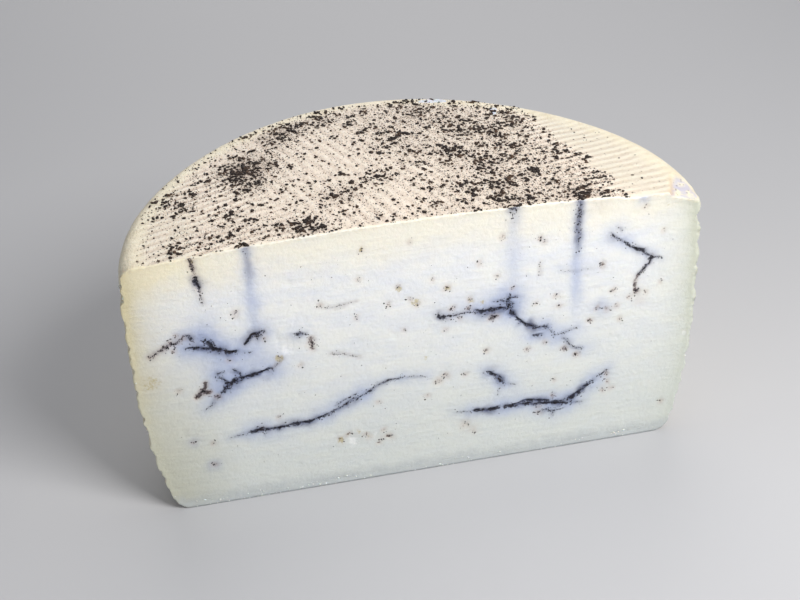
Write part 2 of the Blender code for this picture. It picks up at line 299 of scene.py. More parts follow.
@dataclass(frozen=True)
class Vein:
    """A truffle vein in the cut: its route as (x, z), its width, and how it looks.

    The core is the solid dark line, the halo the blue stain round it, and the
    crumb share how many loose truffle fragments lie along it.
    """

    route: tuple[Spot, ...]
    width: float = 1.0
    core: float = 1.0
    halo: float = 0.5
    reach: float = 3.5
    crumbs: float = 1.0
    tint: float = 0.0


@dataclass(frozen=True)
class Blot:
    """A clot, stain, speck or painted shade in the cut: its middle as (x, z), its radius and what it holds.
    """

    spot: Spot
    radius: float
    dark: float = 0.0
    brown: float = 0.0
    yellow: float = 0.0
    pale: float = 0.0
    blue: float = 0.0


VEINS = (
    Vein(((60.6, 82.6), (63.7, 80.5), (66.4, 78.2)), width=0.5, core=0.62, halo=0.3, reach=2.6,
         crumbs=0.6),
    Vein(((66.4, 78.2), (67.5, 77.0), (71.2, 75.2), (75.0, 72.0)), width=0.5, core=0.72, halo=0.3,
         reach=2.4, crumbs=1.7),
    Vein(((63.2, 84.6), (64.6, 84.2), (65.0, 82.6)), width=0.3, core=0.45, halo=0.2, crumbs=0.4),
    Vein(((75.0, 72.0), (78.1, 71.0)), width=0.45, core=0.6, halo=0.15, crumbs=0.5),
    Vein(((75.0, 72.0), (74.4, 69.5), (72.5, 67.6), (71.0, 65.5)),
         width=0.7, core=0.76, halo=0.12, reach=2.0, crumbs=1.8, tint=0.3),
    Vein(((71.0, 65.5), (70.0, 63.2), (70.6, 59.5)), width=0.3, core=0.2, halo=0.0, crumbs=0.5,
         tint=0.9),
    Vein(((-84.4, 62.0), (-80.0, 64.5), (-76.2, 65.8), (-73.8, 67.6)),
         width=0.7, core=0.35, halo=0.12, reach=2.5, crumbs=1.3, tint=0.6),
    Vein(((-73.9, 68.3), (-71.9, 68.0), (-71.5, 66.0)), width=0.7, core=0.6, halo=0.3, reach=3.0,
         crumbs=0.8, tint=0.2),
    Vein(((-72.8, 63.4), (-70.3, 63.2), (-68.1, 62.4), (-65.0, 62.2), (-63.0, 61.0),
          (-61.2, 60.1), (-58.6, 59.6)), width=1.05, halo=0.75, reach=4.2, crumbs=1.2),
    Vein(((-68.6, 65.4), (-66.2, 64.2), (-64.4, 62.0)), width=1.15, core=0.75, halo=0.85, reach=4.6,
         crumbs=1.3),
    Vein(((-60.5, 59.0), (-57.5, 58.6), (-53.0, 58.8)), width=0.25, core=0.3, halo=0.4, reach=3.6,
         crumbs=0.25),
    Vein(((-55.2, 61.9), (-54.4, 63.2), (-53.6, 64.5), (-51.9, 65.1), (-49.6, 65.2)),
         width=0.8, halo=0.5, reach=3.4, crumbs=1.2, tint=0.15),
    Vein(((-53.0, 64.0), (-51.4, 63.6), (-49.8, 64.6)), width=0.7, core=0.6, halo=0.2, crumbs=1.3,
         tint=0.35),
    Vein(((-48.1, 50.9), (-51.2, 50.8), (-55.0, 49.7), (-58.8, 48.7), (-61.6, 47.3),
          (-64.4, 45.1)), width=1.05, halo=0.75, reach=4.6, crumbs=1.1),
    Vein(((-64.4, 50.2), (-62.6, 48.8), (-60.6, 47.4)), width=0.8, core=0.8, halo=0.6, reach=4.0,
         crumbs=1.0),
    Vein(((-60.0, 53.0), (-58.6, 51.6), (-57.6, 49.6)), width=0.55, core=0.7, halo=0.5, reach=3.8,
         crumbs=0.9),
    Vein(((-66.0, 51.0), (-64.6, 52.6), (-62.8, 52.4)), width=0.4, core=0.5, halo=0.45, reach=3.4,
         crumbs=0.7),
    Vein(((-64.4, 45.1), (-66.4, 42.6), (-68.4, 40.4), (-70.6, 39.2)), width=0.4, core=0.4,
         halo=0.35, reach=3.4, crumbs=0.5),
    Vein(((-48.1, 50.9), (-46.2, 52.4), (-44.8, 54.2)), width=0.3, core=0.3, halo=0.1, reach=2.6,
         crumbs=0.4, tint=0.3),
    Vein(((-72.4, 44.6), (-70.2, 46.4), (-68.0, 45.4)), width=0.6, core=0.35, halo=0.0, crumbs=1.5,
         tint=1.0),
    Vein(((-69.6, 49.4), (-69.2, 47.6), (-70.2, 46.4)), width=0.5, core=0.3, halo=0.0, crumbs=1.2,
         tint=1.0),
    Vein(((-64.0, 26.5), (-60.8, 26.9), (-57.6, 27.0)), width=0.28, core=0.35, halo=0.2, reach=2.6,
         crumbs=0.4),
    Vein(((-57.6, 27.0), (-54.5, 27.8), (-52.3, 27.6), (-48.6, 27.2), (-45.0, 27.6), (-38.8, 28.1),
          (-33.8, 29.0)), width=0.75, core=0.92, halo=0.45, reach=3.4, crumbs=1.0),
    Vein(((-33.8, 29.0), (-30.0, 30.4), (-26.9, 32.1), (-23.8, 33.4), (-20.0, 35.2)), width=0.85,
         core=0.7, halo=0.45, reach=3.4, crumbs=1.1),
    Vein(((-54.6, 28.6), (-53.0, 28.2), (-51.4, 27.4)), width=1.0, core=0.6, halo=0.2, crumbs=1.4,
         tint=0.2),
    Vein(((-20.0, 35.2), (-17.4, 37.2), (-15.0, 38.3), (-11.2, 39.6), (-6.9, 39.9)), width=0.5,
         core=0.66, halo=0.35, reach=2.8, crumbs=0.7),
    Vein(((-29.5, 32.4), (-26.8, 34.4), (-21.4, 36.4)), width=0.4, core=0.5, halo=0.4, crumbs=0.6),
    Vein(((-6.9, 39.9), (-3.0, 39.7), (0.6, 38.6)), width=0.3, core=0.35, halo=0.3, reach=2.6,
         crumbs=0.35),
    Vein(((-53.2, 27.2), (-53.0, 25.2)), width=0.3, core=0.4, halo=0.1, crumbs=0.6),
    Vein(((5.4, 62.4), (6.4, 61.0), (9.6, 60.6)), width=0.75, core=0.8, halo=0.25, crumbs=1.3,
         tint=0.2),
    Vein(((9.6, 60.7), (14.0, 61.2), (18.0, 60.9)), width=0.5, core=0.5, halo=0.3, crumbs=1.0,
         tint=0.15),
    Vein(((17.2, 61.6), (20.0, 60.9), (23.0, 60.5), (26.0, 60.8), (28.8, 60.4)), width=1.0,
         halo=0.55, reach=3.8, crumbs=1.2),
    Vein(((28.8, 60.9), (29.2, 59.0), (31.2, 55.8), (33.8, 53.3), (37.5, 51.5), (40.8, 50.6)),
         width=0.95, halo=0.6, reach=4.0, crumbs=0.9),
    Vein(((28.6, 60.6), (28.2, 62.6), (28.6, 65.2)), width=0.9, core=0.7, halo=0.6, reach=3.8,
         crumbs=1.4),
    Vein(((23.6, 63.6), (26.0, 63.9), (28.2, 62.8)), width=0.5, core=0.5, halo=0.6, reach=3.8,
         crumbs=1.0),
    Vein(((28.2, 63.8), (30.2, 64.4), (31.8, 64.0)), width=0.45, core=0.5, halo=0.3, crumbs=0.9),
    Vein(((22.4, 57.6), (24.2, 58.0)), width=0.8, core=0.35, halo=0.1, crumbs=1.6, tint=0.7),
    Vein(((36.6, 48.4), (39.2, 48.4)), width=0.7, core=0.85, halo=0.45, reach=3.0, crumbs=0.8),
    Vein(((40.8, 50.6), (42.6, 49.2), (44.0, 47.2), (47.4, 47.8), (51.4, 48.9)), width=0.3,
         core=0.3, halo=0.35, reach=3.2, crumbs=0.8),
    Vein(((46.4, 46.2), (48.2, 43.6), (50.2, 41.4), (53.8, 40.2)), width=0.4, core=0.5, halo=0.35,
         reach=3.0, crumbs=0.7),
    Vein(((20.8, 36.6), (23.0, 35.4), (25.0, 33.4), (26.6, 31.0)), width=1.1, core=0.9, halo=0.6,
         reach=3.0, crumbs=0.9),
    Vein(((26.4, 31.0), (30.4, 29.9)), width=0.35, core=0.4, halo=0.2, crumbs=0.4),
    Vein(((25.6, 30.2), (24.6, 26.6)), width=0.25, core=0.25, halo=0.15, crumbs=0.4),
    Vein(((9.6, 22.2), (13.0, 21.8), (16.0, 21.3)), width=0.35, core=0.35, halo=0.2, reach=2.8,
         crumbs=0.4),
    Vein(((16.0, 21.4), (19.4, 21.2), (22.0, 20.9), (24.6, 21.2)), width=1.0, halo=0.5, reach=3.4,
         crumbs=0.9),
    Vein(((26.2, 21.0), (30.0, 21.5), (34.6, 22.0), (38.6, 21.4), (42.6, 20.2)), width=0.7,
         halo=0.5, reach=3.6, crumbs=0.8),
    Vein(((26.6, 20.6), (31.0, 20.9), (35.0, 20.9), (39.6, 19.9), (44.4, 19.0), (48.6, 18.7)),
         width=0.75, halo=0.4, reach=3.4, crumbs=0.9),
    Vein(((42.6, 20.2), (46.4, 19.8), (48.8, 19.4)), width=0.5, core=0.7, halo=0.3, crumbs=0.7),
    Vein(((48.4, 19.6), (51.0, 20.8), (53.8, 22.8), (56.9, 25.8)), width=1.15, halo=0.6, reach=3.8,
         crumbs=1.3),
    Vein(((48.6, 18.8), (51.4, 18.3), (54.2, 18.0)), width=0.5, core=0.5, halo=0.2, crumbs=0.6),
    Vein(((58.0, 27.2), (60.4, 28.6), (62.4, 30.0)), width=0.6, core=0.3, halo=0.4, reach=3.2,
         crumbs=1.2),
    Vein(((38.6, 16.6), (41.4, 17.2), (43.6, 15.6), (43.8, 13.8)), width=0.4, core=0.5, halo=0.2,
         crumbs=0.9),
    Vein(((42.0, 16.4), (45.6, 16.2), (48.0, 16.8)), width=0.3, core=0.4, halo=0.15, crumbs=0.7),
    Vein(((43.6, 22.6), (43.7, 20.6)), width=0.3, core=0.4, halo=0.2, crumbs=0.6),
    Vein(((-40.2, 62.6), (-38.2, 62.9), (-36.4, 62.4)), width=0.7, core=0.8, halo=0.3, reach=2.4,
         crumbs=1.0),
    Vein(((-34.9, 60.4), (-34.6, 58.6), (-34.8, 56.6)), width=0.6, core=0.2, halo=0.0, crumbs=1.2,
         tint=0.9),
    Vein(((-32.0, 71.2), (-27.0, 70.6), (-20.0, 71.6)), width=0.1, core=0.22, halo=0.0, crumbs=0.3,
         tint=0.28),
    Vein(((38.5, 76.2), (38.4, 71.0)), width=0.1, core=0.22, halo=0.0, crumbs=0.3, tint=0.2),
    Vein(((45.0, 71.4), (50.0, 70.8), (56.0, 71.0)), width=0.1, core=0.25, halo=0.15, crumbs=0.2),
    Vein(((-29.8, 53.4), (-25.0, 52.2), (-20.6, 50.4)), width=0.15, core=0.24, halo=0.0, crumbs=0.7,
         tint=0.32),
    Vein(((-67.5, 88.4), (-67.0, 85.8), (-66.7, 83.2)), width=1.1, core=0.95, halo=0.15, reach=2.0,
         crumbs=1.8, tint=0.5),
    Vein(((-68.4, 96.0), (-67.9, 92.0), (-67.6, 89.6)), width=0.6, core=0.3, halo=0.0, crumbs=1.2,
         tint=0.75),
    Vein(((-66.7, 82.2), (-66.2, 78.8)), width=0.3, core=0.35, halo=0.1, crumbs=0.9, tint=0.3),
)

BLOTS = (
    Blot((-85.5, 52.0), 4.4, yellow=0.5, brown=0.16), Blot((-66.0, 63.7), 2.1, dark=0.62, blue=0.6),
    Blot((-62.4, 61.4), 1.6, dark=0.45),
    Blot((-62.4, 47.2), 2.0, dark=0.66, blue=0.4),
    Blot((-59.4, 49.0), 1.3, dark=0.5), Blot((-66.8, 68.4), 4.5, blue=0.55),
    Blot((-64.0, 55.5), 6.5, blue=0.42), Blot((-53.0, 55.5), 6.0, blue=0.35),
    Blot((-70.2, 46.6), 1.5, brown=0.9), Blot((-71.6, 45.0), 1.5, brown=0.7),
    Blot((-45.6, 54.4), 1.6, yellow=0.9), Blot((-42.6, 57.4), 2.6, pale=0.9),
    Blot((-45.4, 59.8), 1.8, pale=0.7), Blot((-52.2, 64.2), 1.6, dark=0.55),
    Blot((28.7, 61.2), 2.1, dark=0.72, blue=0.5),
    Blot((26.4, 62.9), 1.8, dark=0.42), Blot((23.1, 58.0), 1.5, brown=0.8),
    Blot((21.6, 20.8), 1.3, dark=0.5, blue=0.3), Blot((50.6, 20.2), 1.8, dark=0.58, blue=0.5),
    Blot((47.4, 41.4), 1.3, brown=0.9, dark=0.25), Blot((51.4, 38.4), 1.3, brown=0.9, dark=0.1),
    Blot((70.8, 59.4), 1.6, brown=0.8, dark=0.25), Blot((70.0, 63.4), 2.2, brown=0.35),
    Blot((71.6, 56.0), 2.6, brown=0.3), Blot((38.6, 19.0), 1.4, brown=0.5, dark=0.2),
    Blot((13.4, 15.9), 2.2, brown=0.55), Blot((16.0, 13.6), 2.0, brown=0.4),
    Blot((-28.6, 17.8), 1.6, yellow=0.75, brown=0.35), Blot((-26.2, 19.6), 1.5, brown=0.6, yellow=0.4),
    Blot((-22.5, 20.1), 1.4, yellow=0.6, brown=0.3), Blot((-19.6, 17.6), 1.6, brown=0.5, yellow=0.4),
    Blot((-15.0, 15.9), 1.7, brown=0.45, pale=0.4), Blot((-12.2, 16.5), 1.5, brown=0.6),
    Blot((-24.5, 17.2), 2.0, pale=0.85), Blot((-17.4, 18.6), 1.8, pale=0.7),
    Blot((-22.0, 22.6), 3.4, pale=0.35), Blot((-35.0, 58.8), 1.5, brown=0.7),
    Blot((6.9, 37.6), 1.7, brown=0.6), Blot((4.8, 36.0), 1.6, brown=0.55),
    Blot((-75.6, 27.0), 2.0, dark=0.1, blue=0.35), Blot((-70.6, 16.4), 2.4, dark=0.14, blue=0.4),
    Blot((58.8, 71.4), 1.3, brown=0.75), Blot((8.8, 70.9), 1.4, brown=0.4, yellow=0.6),
    Blot((-1.9, 67.8), 1.8, yellow=0.7, brown=0.3), Blot((-6.2, 73.8), 1.1, yellow=0.8),
    Blot((15.8, 65.6), 1.2, yellow=0.7), Blot((19.8, 64.4), 1.5, yellow=0.65),
    Blot((-17.5, 89.5), 1.0, yellow=0.8), Blot((1.0, 46.2), 1.3, yellow=0.6),
    Blot((59.6, 55.0), 3.4, blue=0.5, dark=0.10), Blot((38.8, 84.0), 1.4, brown=0.3, dark=0.1),
    Blot((57.4, 92.6), 3.0, brown=0.24), Blot((44.0, 45.0), 3.2, blue=0.3),
    Blot((61.0, 22.0), 1.6, brown=0.35), Blot((63.2, 22.4), 1.1, brown=0.5),
    Blot((34.4, 43.2), 1.4, brown=0.3), Blot((24.4, 33.8), 1.7, dark=0.6),
    Blot((24.6, 34.0), 4.2, blue=0.3), Blot((74.6, 71.6), 1.0, dark=0.6), Blot((69.4, 76.4), 0.9, dark=0.5),
    Blot((0.6, 30.4), 1.3, brown=0.25, yellow=0.3), Blot((77.5, 38.0), 3.0, yellow=0.25),
    Blot((45.0, 62.0), 1.2, brown=0.25), Blot((43.6, 58.2), 1.3, brown=0.2),
    Blot((55.8, 50.6), 1.4, brown=0.3), Blot((-69.5, 25.5), 1.1, dark=0.1),
    # The blot at (71.0, 94.4) is painted shade: the purple shadow in the bitten lip of the upper edge.
    Blot((71.0, 94.4), 2.2, blue=0.75, dark=0.12), Blot((-67.0, 85.2), 1.1, dark=0.5),
    Blot((-68.0, 93.6), 1.0, yellow=0.6), Blot((29.6, 97.0), 1.7, dark=0.9),
    Blot((50.8, 92.0), 1.2, dark=0.45), Blot((50.6, 86.0), 1.1, dark=0.5),
    Blot((79.0, 90.4), 2.2, yellow=0.4),
    Blot((88.5, 40.0), 1.2, pale=0.9), Blot((-38.0, 71.0), 3.6, pale=0.4),
    Blot((56.0, 13.0), 3.0, yellow=0.25), Blot((63.6, 61.4), 1.2, brown=0.25),
)

# Lone truffle specks in the cut, as (x, z) and how many fragments lie there, and their stain's reach
SPECK_REACH = 1.15
SPECKS = (
    ((-56.9, 73.9), 4), ((-31.9, 72.0), 4), ((-20.0, 65.8), 3), ((-10.0, 68.2), 5),
    ((-3.4, 69.0), 4), ((-1.4, 67.0), 4), ((-6.6, 74.6), 4), ((-5.6, 58.2), 3), ((8.8, 71.4), 6),
    ((15.4, 66.2), 5), ((26.2, 86.8), 4), ((38.2, 84.6), 5), ((39.6, 83.2), 4), ((24.4, 73.0), 3),
    ((18.8, 78.9), 3), ((36.9, 60.8), 3), ((43.8, 62.6), 5), ((45.0, 58.2), 3), ((63.1, 61.4), 4),
    ((55.6, 50.8), 6), ((58.0, 55.2), 4), ((61.4, 54.6), 4), ((64.2, 54.8), 3), ((65.4, 49.6), 3),
    ((20.6, 45.1), 5), ((34.4, 43.2), 5), ((-17.5, 89.5), 3), ((-2.5, 89.9), 2), ((3.8, 75.4), 3),
    ((-18.8, 78.9), 4), ((43.8, 29.5), 3), ((13.1, 36.8), 3), ((-15.6, 31.4), 2),
    ((-69.4, 25.5), 2), ((-77.5, 48.0), 3), ((7.5, 55.8), 2), ((78.8, 81.0), 2), ((72.0, 91.0), 2),
    ((71.0, 59.4), 8), ((68.4, 57.6), 4), ((74.0, 58.6), 3), ((23.1, 58.2), 8), ((47.5, 41.2), 6),
    ((51.4, 38.6), 6), ((-70.2, 46.6), 9), ((-66.0, 43.6), 5), ((13.8, 16.2), 4), ((16.4, 12.8), 3),
    ((-28.8, 18.4), 5), ((-26.0, 20.2), 4), ((-20.4, 18.6), 4), ((-14.2, 19.6), 4),
    ((-12.4, 16.4), 6), ((-15.6, 14.8), 4), ((6.6, 38.0), 4), ((4.4, 35.6), 4), ((61.6, 28.2), 5),
    ((62.4, 25.2), 4), ((60.8, 21.8), 4), ((63.6, 22.2), 3), ((43.6, 22.8), 3), ((38.4, 16.4), 4),
    ((-34.6, 58.0), 5), ((-83.0, 62.4), 4), ((-80.4, 64.4), 5), ((-77.8, 66.2), 5),
    ((-76.0, 68.4), 4), ((-76.8, 63.4), 4), ((9.8, 63.4), 6), ((15.2, 62.6), 5), ((12.4, 59.6), 2),
    ((-49.6, 62.4), 3), ((-45.4, 54.6), 3), ((-38.8, 50.4), 2), ((-57.4, 72.6), 3),
    ((-75.6, 27.0), 3), ((-70.6, 16.4), 4), ((58.8, 72.0), 3), ((40.6, 45.2), 3), ((-60.6, 56.6), 2),
    ((78.6, 62.0), 2), ((82.0, 12.4), 3), ((0.6, 30.4), 3), ((29.6, 67.6), 3), ((-47.6, 31.8), 3),
)


@dataclass(frozen=True)
class NeedleMark:
    """Where a needle pushed truffle down from the top.

    It has a place in x, the height at which its blue stain ends, its width, the strength of that
    blue, how many fragments it holds, between which heights they lie, and how dark it is there.
    """

    x: float
    bottom: float
    width: float
    blue: float
    fragments: int
    dark_top: float
    dark_bottom: float
    shadow: float


NEEDLE_MARKS = (
    NeedleMark(-67.6, 78.0, 1.3, 0.10, 8, 96.0, 79.0, 0.12),
    NeedleMark(-51.6, 66.0, 2.2, 0.60, 8, 98.0, 85.0, 0.46),
    NeedleMark(29.8, 68.0, 2.8, 0.36, 20, 98.0, 93.5, 0.38),
    NeedleMark(50.6, 56.0, 2.2, 0.62, 84, 96.5, 79.0, 0.85),
)


def row_matrix() -> Matrix:
    """Placement of the wheel's own frame, in millimetres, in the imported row, in metres."""
    low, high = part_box("cheese")
    angles = np.array([0.0, math.pi])
    reach = FORM.radius * FORM.plan_scale(angles)
    middle_x = 0.5 * (low.x + high.x) - 0.5 * METRE * float(reach[0] - reach[1])
    middle_y = low.y + METRE * FORM.cut_offset
    return Matrix.Translation((middle_x, middle_y, 0.0)) @ Matrix.Scale(METRE, 4)


def rows_of(mesh: bpy.types.Mesh) -> np.ndarray:
    """Read a mesh's corners as rows of x, y and z."""
    rows = np.empty(3 * len(mesh.vertices), np.float32)
    mesh.vertices.foreach_get("co", rows)
    return rows.reshape(-1, 3).astype(float)


def set_rows(mesh: bpy.types.Mesh, rows: np.ndarray) -> None:
    """Write a mesh's corners from rows of x, y and z."""
    mesh.vertices.foreach_set("co", rows.astype(np.float32).ravel())
    mesh.update()


def keep_behind(mesh: bpy.types.Mesh) -> bpy.types.Mesh:
    """Press what would stand out of the cut or of the base back into it."""
    rows = rows_of(mesh)
    rows[:, 1] = np.maximum(rows[:, 1], -FORM.cut_offset)
    rows[:, 2] = np.maximum(rows[:, 2], 0.0)
    set_rows(mesh, rows)
    return mesh


def paint(mesh: bpy.types.Mesh, name: str, values: np.ndarray) -> None:
    """Keep a number for each corner of a mesh, for its material to read."""
    layer = mesh.attributes.new(name, "FLOAT", "POINT")
    layer.data.foreach_set("value", values.astype(np.float32))


def show(name: str, mesh: bpy.types.Mesh, material: bpy.types.Material) -> bpy.types.Object:
    """Place a finished mesh in the row frame, dress it and let it ride.

    Args:
        name: The piece's name.
        mesh: Its mesh, in the wheel's frame.
        material: Its finish.

    Returns:
        The piece.
    """
    mesh.transform(row_matrix())
    mesh.materials.append(material)
    mesh.shade_smooth()
    piece = bpy.data.objects.new(name, mesh)
    bpy.context.scene.collection.objects.link(piece)
    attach(piece, "root")
    log.info("%s: %d faces", name, len(mesh.polygons))
    return piece


@dataclass(frozen=True)
class TopRelief:
    """Low ridges that the draining cloth left on the top, in three fields.

    Each field has the direction in which its ridges run, in radians, and their distance.
    """

    right: Spot = (math.radians(15.0), 3.3)
    left: Spot = (math.radians(15.0), 3.4)
    middle: Spot = (math.radians(-70.0), 3.7)
    middle_share: float = 0.4
    height: float = 0.15
    sunk: float = 0.2
    wander: float = 1.3
    rim_fade: float = 4.0
    noise: LatticeNoise = field(default_factory=lambda: LatticeNoise(11))

    def ridge(self, x: np.ndarray, y: np.ndarray, heading: float, pitch: float) -> np.ndarray:
        """Height from about -1 to 1 of parallel ridges that wander a little.

        Args:
            x: Places to the right.
            y: Places to the back.
            heading: Direction that the ridges run in, in radians.
            pitch: Distance between them.

        Returns:
            Heights.
        """
        across = -x * math.sin(heading) + y * math.cos(heading)
        places = np.stack([x, y, np.full_like(x, pitch)], axis=1)
        wander = self.wander * self.noise.rough(places, 16.0, 2)
        wave = np.cos(math.tau * (across + wander) / pitch)
        return wave * (0.65 + 0.5 * self.noise.at(places, 9.0))

    def ridges(self, x: np.ndarray, y: np.ndarray) -> np.ndarray:
        """Ridges of the three fields together, from about -1 to 1."""
        right = soft_step(x + 0.22 * y, 46.0, 60.0)
        left = soft_step(-x - 0.55 * y, 20.0, 46.0)
        middle = self.middle_share * np.clip(1.0 - right - left, 0.0, 1.0)
        return (right * self.ridge(x, y, *self.right) + left * self.ridge(x, y, *self.left)
                + middle * self.ridge(x, y, *self.middle))

    def at(self, x: np.ndarray, y: np.ndarray) -> np.ndarray:
        """Height of ridges and grain together at places on the top."""
        places = np.stack([x, y, np.zeros_like(x)], axis=1)
        return self.height * (self.ridges(x, y) + self.noise.rough(places, 4.0, 3))

    def surface(self, x: np.ndarray, y: np.ndarray) -> np.ndarray:
        """Height of the finished top, dome, relief, chip and lip together."""
        rim = FORM.top_radius
        fade = 1.0 - soft_step(FORM.true_radius(x, y), rim - self.rim_fade, rim)
        height = FORM.flat_height + FORM.rise(x, y) + fade * (self.at(x, y) - self.sunk)
        places = np.stack([x, y, np.full_like(x, 9.0)], axis=1)
        floor = FORM.chip_floor(x, y) + 0.25 * self.noise.rough(places, 2.5, 2)
        return np.minimum(np.minimum(height, floor), FORM.lip_floor(x, y))


RELIEF = TopRelief()


@dataclass
class CheeseBody:
    """The half wheel itself: one closed mesh with its veins, eyes, ribs and broken corner."""

    around: int = 420
    side_step: float = 1.09
    cut_pitch: Spot = (0.68, 0.66)
    top_pitch: float = 0.86
    fold_height: float = 60.0
    fold_reach: float = 9.0
    vein_margin: float = 0.8
    vein_wander: float = 0.85
    groove_depth: float = 0.42
    eye_depth: float = 0.5
    recess: float = 0.16
    edge_round: float = 0.42
    outline_from: float = 72.0
    outline_wear: float = 0.72
    noise: LatticeNoise = field(default_factory=lambda: LatticeNoise(5))

    def halved_wheel(self) -> bmesh.types.BMesh:
        """Spin the side, make the plan uneven, close it and cut the front half away."""
        shape = bmesh.new()
        corners = [shape.verts.new((radius, 0.0, height))
                   for radius, height in FORM.side_profile(self.side_step)]
        edges = [shape.edges.new(pair) for pair in zip(corners, corners[1:])]
        bmesh.ops.spin(shape, geom=corners + edges, cent=(0.0, 0.0, 0.0), axis=(0.0, 0.0, 1.0),
                       angle=math.tau, steps=self.around, use_merge=True)
        for corner in shape.verts:
            scale = float(FORM.plan_scale(math.atan2(corner.co.y, corner.co.x)))
            corner.co.x *= scale
            corner.co.y *= scale
        for height in (FORM.flat_height, 0.0):
            ring = [edge for edge in shape.edges if edge.is_boundary
                    and all(abs(corner.co.z - height) < TOUCH for corner in edge.verts)]
            bmesh.ops.contextual_create(shape, geom=ring)
        cut = bmesh.ops.bisect_plane(
            shape, geom=shape.verts[:] + shape.edges[:] + shape.faces[:], dist=0.1 * TOUCH,
            plane_co=(0.0, -FORM.cut_offset, 0.0), plane_no=(0.0, -1.0, 0.0), clear_outer=True)
        rim = [part for part in cut["geom_cut"] if isinstance(part, bmesh.types.BMEdge)]
        bmesh.ops.contextual_create(shape, geom=rim)
        bmesh.ops.recalc_face_normals(shape, faces=shape.faces[:])
        return shape

    @staticmethod
    def slice_faces(shape: bmesh.types.BMesh, faces: Iterable[bmesh.types.BMFace], axis: int,
                    stops: Iterable[float]) -> list[bmesh.types.BMFace]:
        """Cut faces into strips by a row of planes across an axis.

        Args:
            shape: The mesh that the faces belong to.
            faces: The faces to cut.
            axis: 0, 1 or 2, the axis that the planes stand across.
            stops: Where the planes stand, in rising order.

        Returns:
            The strips.
        """
        normal = Vector([float(axis == index) for index in range(3)])
        ahead, behind = list(faces), []
        for stop in stops:
            parts = {part: None for face in ahead for part in (*face.verts, *face.edges, face)}
            cut = bmesh.ops.bisect_plane(shape, geom=list(parts), dist=0.1 * TOUCH,
                                         plane_co=normal * stop, plane_no=normal)
            pieces = [part for part in cut["geom"] if isinstance(part, bmesh.types.BMFace)]
            ahead = [face for face in pieces if face.calc_center_bounds()[axis] > stop]
            behind += [face for face in pieces if face.calc_center_bounds()[axis] <= stop]
        return behind + ahead

    def sliced(self) -> bmesh.types.BMesh:
        """Slice the cut face and the top finely, and finer still along the veins."""
        shape = self.halved_wheel()
        front = [face for face in shape.faces if face.normal.y < -0.99]
        top = [face for face in shape.faces if face.normal.z > 0.999]
        front = self.slice_faces(shape, front, 2, np.arange(
            self.cut_pitch[1], FORM.flat_height - 0.3 * self.cut_pitch[1], self.cut_pitch[1]))
        top = self.slice_faces(shape, top, 1, np.arange(
            self.top_pitch - FORM.cut_offset, FORM.top_radius, self.top_pitch))
        self.slice_faces(shape, front + top, 0, np.arange(
            -FORM.radius, FORM.radius, self.cut_pitch[0]))
        self.refine_veins(shape)
        many = [face for face in shape.faces if len(face.verts) > 4]
        bmesh.ops.triangulate(shape, faces=many)
        return shape

    def refine_veins(self, shape: bmesh.types.BMesh) -> None:
        """Halve the edges of the cut face that lie along a vein."""
        edges = [edge for edge in shape.edges
                 if all(abs(corner.co.y + FORM.cut_offset) < TOUCH for corner in edge.verts)]
        middles = np.array([(0.5 * (edge.verts[0].co + edge.verts[1].co)).xz for edge in edges])
        near = np.full(len(edges), NOWHERE)
        for vein in VEINS:
            if vein.core > 0.25:
                near = np.minimum(near, route_distance(middles, vein.route)[0] - 0.5 * vein.width)
        chosen = [edge for edge, distance in zip(edges, near) if distance < self.vein_margin]
        bmesh.ops.subdivide_edges(shape, edges=chosen, cuts=1, use_grid_fill=True)

    @staticmethod
    def outline() -> np.ndarray:
        """Points of the worn cut's outline as rows of x and z."""
        points = np.array(FORM.side_profile(0.5))
        y = -FORM.cut_offset
        right = np.sqrt(np.maximum(points[:, 0] ** 2 - y ** 2, 0.0))
        sides = []
        for sign in (1.0, -1.0):
            scale = FORM.plan_scale(np.arctan2(y, sign * right))
            sides.append(np.stack([sign * right * scale, points[:, 1]], axis=1))
        across = np.linspace(-FORM.top_radius, FORM.top_radius, 360)
        top = np.stack([across, FORM.cut_top(across)], axis=1)
        base = np.stack([across, np.zeros_like(across)], axis=1)
        points = np.concatenate([*sides, top, base])
        worn = RELIEF.surface(points[:, 0], np.full(len(points), y))
        high = points[:, 1] > FORM.shoulder_height
        points[:, 1] = np.where(high, np.minimum(points[:, 1], worn), points[:, 1])
        return points

    @staticmethod
    def worn_top(x: np.ndarray) -> np.ndarray:
        """Height of the cut's upper outline with its relief, the chip and the lip."""
        return np.minimum(FORM.cut_top(x), RELIEF.surface(x, np.full_like(x, -FORM.cut_offset)))

    def vein_fields(self, spots: np.ndarray) -> dict[str, np.ndarray]:
        """Work out what stains the cut at spots, and the shade painted into its bitten lip.

        Args:
            spots: Rows of x and z.

        Returns:
            Fields of ink, blur, halo, brown, yellow and pale, each 0 where there is none.
        """
        fields = {name: np.zeros(len(spots))
                  for name in ("ink", "blur", "halo", "brown", "yellow", "pale")}
        clear = np.ones(len(spots))
        places = np.column_stack([spots, np.zeros(len(spots))])
        wander = np.column_stack([self.noise.rough(places + shift, 3.6, 3) for shift in (0.0, 60.0)])
        spots = spots + self.vein_wander * wander
        swell = np.clip(0.85 + 1.8 * self.noise.rough(places + 20.0, 2.8, 2), 0.0, 2.2)
        for vein in VEINS:
            clear *= self.add_vein(fields, spots, vein, swell)
        for blot in BLOTS:
            clear *= self.add_blot(fields, spots, blot)
        for middle, count in SPECKS:
            share = bell(np.linalg.norm(spots - middle, axis=1), SPECK_REACH)
            self.lift(fields, "brown", min(0.8, 0.42 + 0.06 * count) * share)
        for mark in NEEDLE_MARKS:
            clear *= self.add_mark(fields, spots, mark)
        fields["halo"] = 1.0 - clear
        return fields

    @staticmethod
    def lift(fields: dict[str, np.ndarray], name: str, values: np.ndarray) -> None:
        """Raise a field to values where they are higher."""
        fields[name] = np.maximum(fields[name], values)

